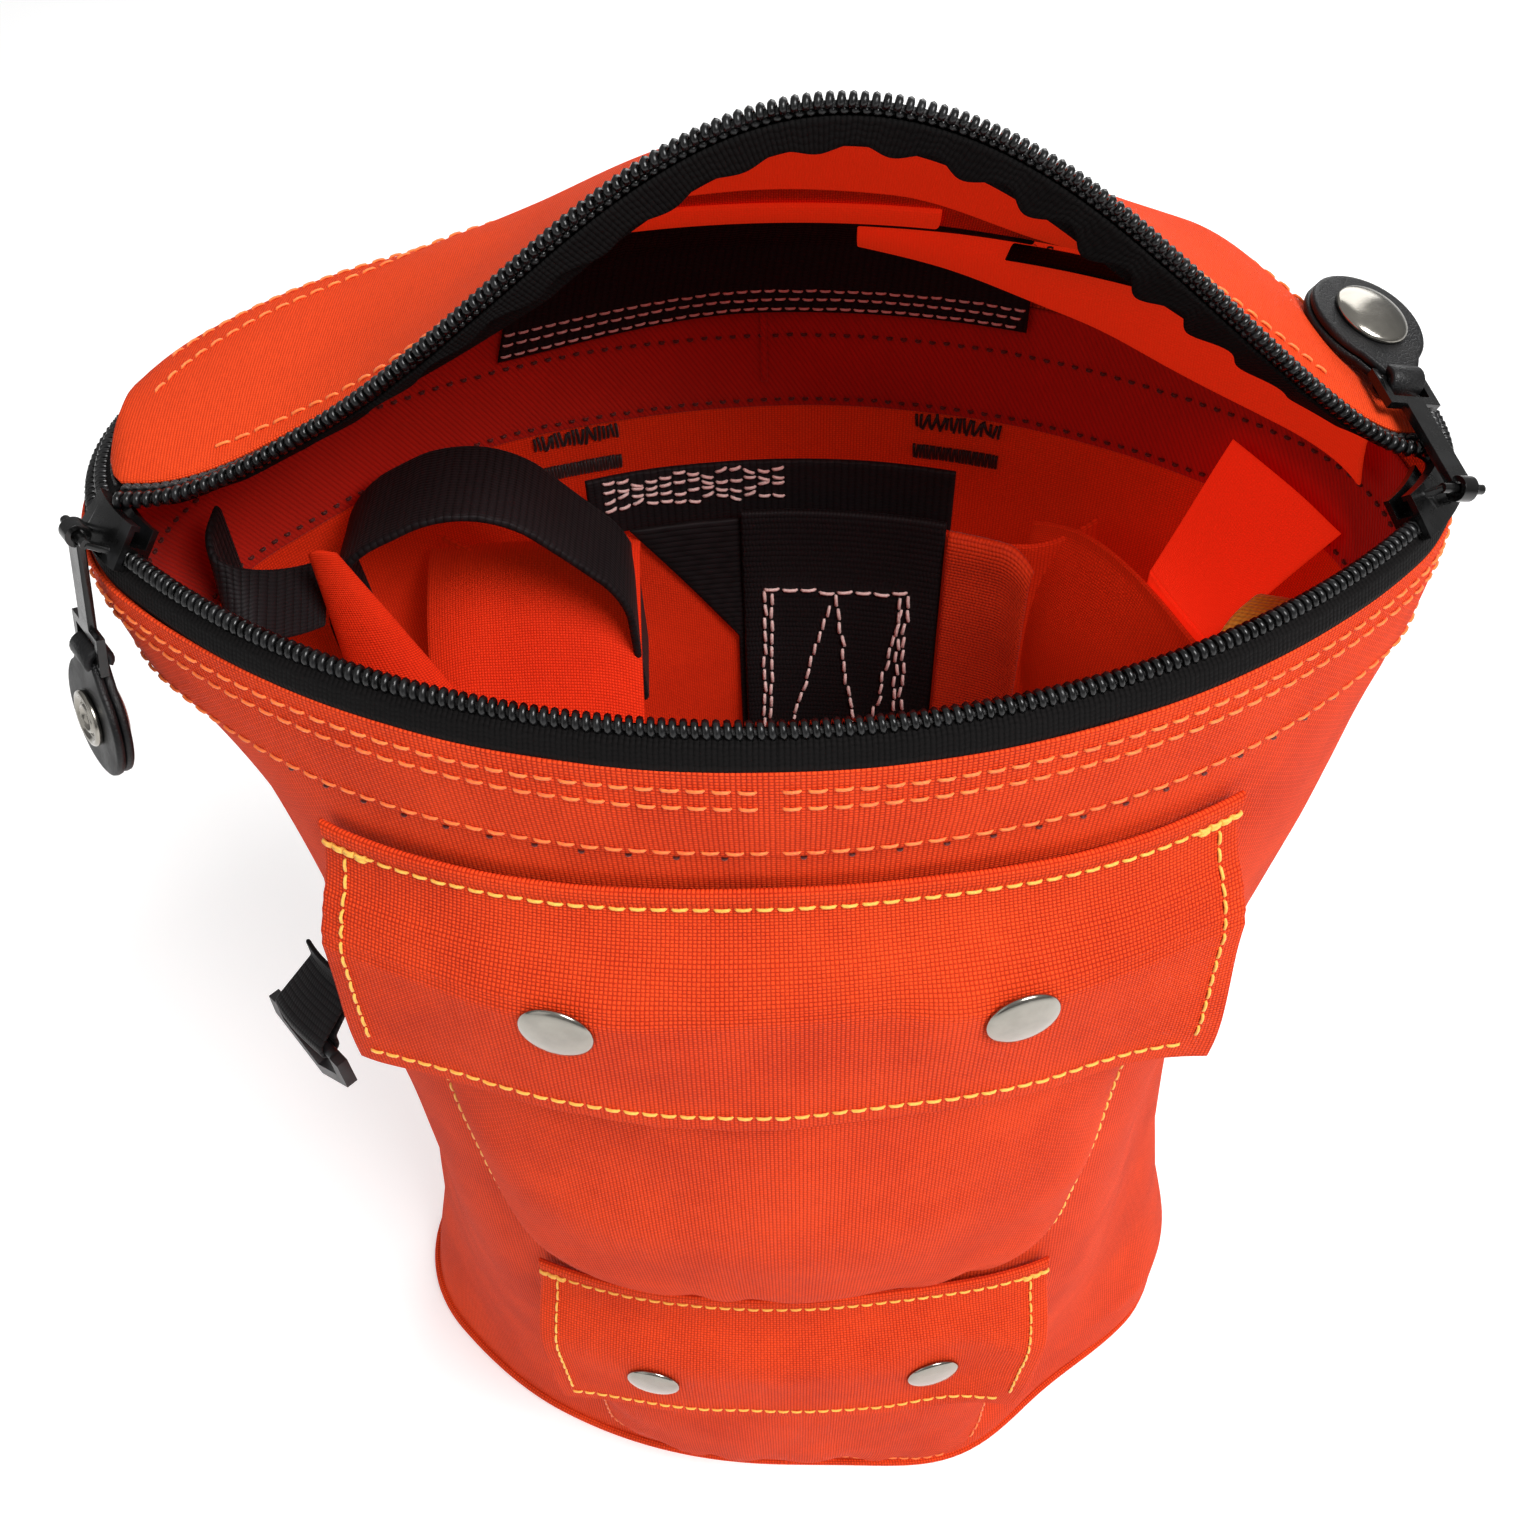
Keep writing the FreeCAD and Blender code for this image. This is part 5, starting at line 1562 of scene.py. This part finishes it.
def make_back():
    """Two belt loops and the webbing down the middle of the back."""
    for name, x in (("left", -LOOP_X), ("right", LOOP_X)):
        surf = belt_surface(x)
        cloth(f"belt_strap_{name}", surf, 80, 14, WEBBING, "bag", (f"belt_loop_{name}",), 0.7)
        ends = []
        for u0, u1 in ((0.02, 0.085), (0.915, 0.98)):
            ends += [[(u0, 0.12), (u0, 0.88)], [(u1, 0.12), (u1, 0.88)], [(u0, 0.12), (u1, 0.88)],
                     [(u1, 0.12), (u0, 0.88)], [(u0, 0.12), (u1, 0.12)], [(u0, 0.88), (u1, 0.88)]]
        stitch_rows(f"belt_stitches_{name}", surf, ends, BLACK_THREAD, "bag", BELT_STITCH)

    def centre(u, v):
        l = BACK_L + lerp(-LOOP_W / 2, LOOP_W / 2, v)
        return wall(l, lerp(*BACK_STRAP_ZS, u), 0.9)
    surf = Surface(centre, 1.5)
    cloth("back_centre_strap", surf, 110, 14, WEBBING, "bag", ("back_centre_webbing",), 0.7)
    sides = level_rows((0.09, 0.91))
    stitch_rows("back_centre_stitches", surf, sides, BLACK_THREAD, "bag", STRAP_STITCH)


def make_bar_tacks():
    """Dense black thread bars inside the back wall, the upper ones fuzzy."""
    parts = Parts()
    for x in (-LOOP_X, LOOP_X):
        for z, count, messy in ((302.6, 26, 0.25), (311.5, 20, 1.5)):
            for k in range(count):
                t = (k + 0.5) / count
                l = BACK_L - arc_l(x) + lerp(-11, 11, t)
                wob = messy * rough(k * 3.3, z, x, 3, 1.0)
                line = []
                for f, h in ((-1.0, -0.5), (-0.7, 0.7), (0.0, 1.1), (0.7, 0.7), (1.0, -0.5)):
                    px, py = oval(l + wob * f, -2.9 - 0.45 * h + sag(l, z))
                    line.append((px, py, z + f * (1.9 + 0.5 * messy * rough(k, z, 3, 2)) + wob * 0.6))
                parts.add(*tube_mesh(line, 0.42, 5))
    mesh_object("bar_tack_threads", parts, BLACK_THREAD, "bag", ("bar_tacks",))


# ---- hardware ----

def refined(name, node, material, body, width, segments=2):
    """A CAD node's shape with softened edges."""
    source = frame["nodes"][node]
    mesh = source.data.copy()
    bm = bmesh.new()
    bm.from_mesh(mesh)
    bmesh.ops.remove_doubles(bm, verts=bm.verts, dist=1e-6)
    bmesh.ops.dissolve_limit(bm, angle_limit=radians(1.0), verts=bm.verts, edges=bm.edges)
    bm.to_mesh(mesh)
    bm.free()
    mesh.materials.clear()
    mesh.materials.append(material)
    mesh.polygons.foreach_set("use_smooth", [True] * len(mesh.polygons))
    obj = add_object(name, mesh)
    bevel = obj.modifiers.new("soft_edges", "BEVEL")
    bevel.width = width * MM
    bevel.segments = segments
    bevel.limit_method = "ANGLE"
    bevel.angle_limit = radians(32)
    bevel.harden_normals = False
    mesh.set_sharp_from_angle(angle=radians(40))
    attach(obj, body)
    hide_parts(node)
    return obj


def slider_angle(side):
    return -SLIDER_REST if side > 0 else pi + SLIDER_REST


def pin_point(side):
    """Middle of the bail's bar."""
    s, z = zip_point(7.0, 0.0 if side > 0 else 2.0)
    a = slider_angle(side)
    return np.array([side * END_X + (END_R + s) * cos(a), (END_R + s) * sin(a), z])


def puller_frame(side):
    """(axis, along, face) directions of a puller at rest."""
    a = slider_angle(side)
    if side < 0:
        t = radians(LEFT_TILT)
        along = np.array([sin(t) * cos(a), sin(t) * sin(a), -cos(t)])
        axis = np.array([-sin(a), cos(a), 0.0])
    else:
        rise, roll, turn = (radians(x) for x in (RIGHT_RISE, RIGHT_ROLL, RIGHT_TURN))
        along = np.array([-sin(turn) * cos(rise), cos(turn) * cos(rise), sin(rise)])
        level = np.array([cos(turn), sin(turn), 0.0])
        axis = level * cos(roll) - np.cross(level, along) * sin(roll)
    return unit(axis), unit(along), unit(np.cross(axis, along))


def tab_outline():
    """(x, y) outline of the leather: a neck that widens into a round pad."""
    cy = PULLER_LEN + TAB_CAP
    join = asin(NECK / TAB_R) + 0.28
    out = [(NECK, PULLER_LEN + 0.6)]
    start = -pi / 2 + join
    for t in np.linspace(start, 3 * pi / 2 - join, 44):
        r = TAB_R * (1 + 0.02 * sin(3 * t))
        out.append((r * cos(t), cy + r * sin(t)))
    out.append((-NECK, PULLER_LEN + 0.6))
    return out


def add_plate(parts, outline, z0, z1, to_world):
    """Rounded-edge plate between z0 and z1 with the given outline."""
    edge = 0.45
    pts = np.array(outline)
    centre = pts.mean(axis=0)
    nxt, prv = np.roll(pts, -1, axis=0), np.roll(pts, 1, axis=0)
    tang = nxt - prv
    norm = np.stack([tang[:, 1], -tang[:, 0]], 1)
    norm /= np.maximum(np.linalg.norm(norm, axis=1, keepdims=True), 1e-9)
    if np.sum(norm * (pts - centre)) < 0:
        norm = -norm
    mid = (z0 + z1) / 2
    rings = []
    for inset, z in ((edge * 2.2, z0), (edge, z0 + 0.02), (edge * 0.3, z0 + edge * 0.45), (0.0, mid),
                     (edge * 0.3, z1 - edge * 0.45), (edge, z1 - 0.02), (edge * 2.2, z1)):
        rings.append([(p[0], p[1], z) for p in pts - norm * inset])
    n = len(pts)
    verts = [v for ring in rings for v in ring]
    faces = ring_faces(len(rings), n)
    faces.append(tuple(reversed(range(n))))
    faces.append(tuple((len(rings) - 1) * n + k for k in range(n)))
    parts.add([to_world(*v) for v in verts], faces)


def make_tab(side, label):
    """Leather strap folded round the puller's end bar, with its snap."""
    axis, along, face = puller_frame(side)
    pin = pin_point(side)

    def world(x, y, z):
        return pin + axis * x + along * y + face * z
    parts = Parts()
    outline = tab_outline()
    half = TAB_T / 2
    add_plate(parts, outline, -half, -0.08, world)
    upper = [(x * 0.985, PULLER_LEN + (y - PULLER_LEN) * 0.985) for x, y in outline]
    add_plate(parts, upper, 0.08, half, world)
    roll = []
    for t in np.linspace(-0.55, 0.55, 15):
        a = pi + t * pi * 2 * 0.62
        roll.append((cos(a), sin(a)))
    count = len(roll)
    verts = []
    for r in ROLL_R:
        for x in (-3.75, -3.4, 3.4, 3.75):
            rr = r - (0.3 if abs(x) > 3.5 and r > 2 else 0.0)
            verts += [world(x, PULLER_LEN + rr * c, rr * s) for c, s in roll]
    faces = []
    for ring in range(3):
        for k in range(count - 1):
            a, b = ring * count + k, (ring + 1) * count + k
            faces.append((a, a + 1, b + 1, b))
            c, d = (4 + ring) * count + k, (5 + ring) * count + k
            faces.append((c, d, d + 1, c + 1))
    for k in range(count - 1):
        faces.append((k, 4 * count + k, 4 * count + k + 1, k + 1))
        faces.append((3 * count + k, 3 * count + k + 1, 7 * count + k + 1, 7 * count + k))
    parts.add(verts, faces)
    mesh_object(f"leather_tab_{label}", parts, LEATHER, f"tab_{label}", (f"tab_{label}",))
    snap = (("cap", cap_profile(), half + 0.02, 1), ("socket", socket_profile(), -half, -1))
    for kind, profile, z, sign in snap:
        piece = Parts()
        verts, faces = lathe(profile)
        origin = world(0.0, PULLER_LEN + TAB_CAP, z)
        scale = 0.85 if kind == "socket" else 1.0
        add_placed(piece, [(v[0], v[1] * sign, v[2] * scale) for v in verts], faces, origin, axis, along,
                   face * sign)
        mesh_object(f"tab_{kind}_{label}_metal", piece, NICKEL, f"tab_{label}", (f"tab_{kind}_{label}",))


def make_ring_webbing():
    """Webbing through the ring's bar, with both ends sewn to the bag's soft wall."""
    deep = sag(RING_L, RING_Z + 18) + 1.2
    bar = 3.6
    path = [(deep, RING_Z + 25), (deep, RING_Z + 19), (bar + 2.3, RING_Z + 9), (bar + 2.2, RING_Z + 4.0),
            (bar - 2.2, RING_Z + 3.8), (bar - 2.2, RING_Z + 9), (deep - 1.0, RING_Z + 18)]
    path = rounded_path(path, 2.0)

    def place(u, v):
        s, z = path.at(u * path.length)
        x, y = oval(RING_L + lerp(-RING_WEB_HALF, RING_WEB_HALF, v), s)
        return x, y, z
    cloth("side_ring_webbing", Surface(place, 1.2), 70, 12, WEBBING, "bag", ("side_ring_loop",), 0.5)


def make_hardware():
    """Sliders, pullers, tabs and the side ring with its webbing."""
    for side, label in ((-1, "left"), (1, "right")):
        refined(f"slider_{label}_metal", f"slider_{label}", ENAMEL, f"slider_{label}", width=0.35)
        refined(f"puller_{label}_metal", f"puller_{label}", ENAMEL, f"puller_{label}", width=0.3)
        make_tab(side, label)
    refined("side_ring_moulding", "side_ring", RING, "side_ring", width=0.6, segments=3)
    make_ring_webbing()


# ---- stage, lights and camera ----

EYE = (-1.66, -234.86, 530.55)
PITCH = 48.65
ROLL = 1.4
FOCAL_PX = 1483.0
IMAGE_LONG_PX = 1540.0
SENSOR = 36.0
KEY_LIGHT = 25.0
FILL_LIGHT = 3.0
BACK_LIGHT = 9.0
WORLD_LIGHT = 0.48


def make_camera():
    data = bpy.data.cameras.new("camera")
    data.sensor_width = SENSOR
    data.lens = FOCAL_PX * SENSOR / IMAGE_LONG_PX
    data.clip_start = 0.01
    camera = add_object("camera", data)
    turn = Matrix.Rotation(radians(90 - PITCH), 4, "X") @ Matrix.Rotation(radians(-ROLL), 4, "Z")
    camera.matrix_world = Matrix.Translation([c * MM for c in EYE]) @ turn
    bpy.context.scene.camera = camera


def area_light(name, place, aim, size, power):
    data = bpy.data.lights.new(name, "AREA")
    data.shape = "SQUARE"
    data.size = size
    data.energy = power
    light = add_object(name, data)
    light.location = place
    light.rotation_euler = (Vector(aim) - Vector(place)).to_track_quat("-Z", "Y").to_euler()


def studio_world():
    """White surroundings that are darker low down, so that metal has something to mirror."""
    world = bpy.data.worlds.new("studio")
    world.use_nodes = True
    tree = world.node_tree
    coord = tree.nodes.new("ShaderNodeTexCoord")
    split = tree.nodes.new("ShaderNodeSeparateXYZ")
    tree.links.new(coord.outputs["Generated"], split.inputs[0])
    ramp = tree.nodes.new("ShaderNodeValToRGB")
    tree.links.new(split.outputs[2], ramp.inputs[0])
    for stop, height, grey in zip(ramp.color_ramp.elements, (0.0, 0.75), (0.42, 1.0)):
        stop.position = height
        stop.color = (grey, grey, grey, 1.0)
    tree.links.new(ramp.outputs[0], tree.nodes["Background"].inputs[0])
    tree.nodes["Background"].inputs[1].default_value = WORLD_LIGHT
    bpy.context.scene.world = world


def make_stage():
    mesh = bpy.data.meshes.new("floor")
    size = 6.0
    corners = [(-size, -size, 0), (size, -size, 0), (size, size, 0), (-size, size, 0)]
    mesh.from_pydata(corners, [], [(0, 1, 2, 3)])
    mesh.materials.append(matt_floor())
    floor = add_object("floor", mesh)
    floor.location.z = -0.0006
    area_light("key", (0.62, -0.62, 1.45), (0, 0, 0.28), 0.7, KEY_LIGHT)
    area_light("fill", (-1.3, -0.9, 0.8), (0, 0, 0.2), 1.2, FILL_LIGHT)
    area_light("back", (0.5, 1.2, 1.0), (0, 0, 0.3), 1.0, BACK_LIGHT)
    studio_world()
    bpy.context.scene.view_settings.view_transform = "Standard"


def build():
    make_wall()
    make_rim_band()
    make_base()
    make_linings()
    make_bottom_zip()
    make_zip_ends()
    make_lid_zip()
    make_lid()
    make_lid_underside()
    make_hinge()
    make_pocket("upper", UPPER, 2.4)
    make_pocket("lower", LOWER, 5.9)
    make_flap("upper", UPPER_FLAP, UPPER, 1.1)
    make_flap("lower", LOWER_FLAP, LOWER, 4.2)
    make_snaps("upper", UPPER_FLAP, UPPER)
    make_snaps("lower", LOWER_FLAP, LOWER)
    make_organizer()
    make_inner_straps()
    make_back()
    make_bar_tacks()
    make_hardware()
    make_stage()
    make_camera()


build()
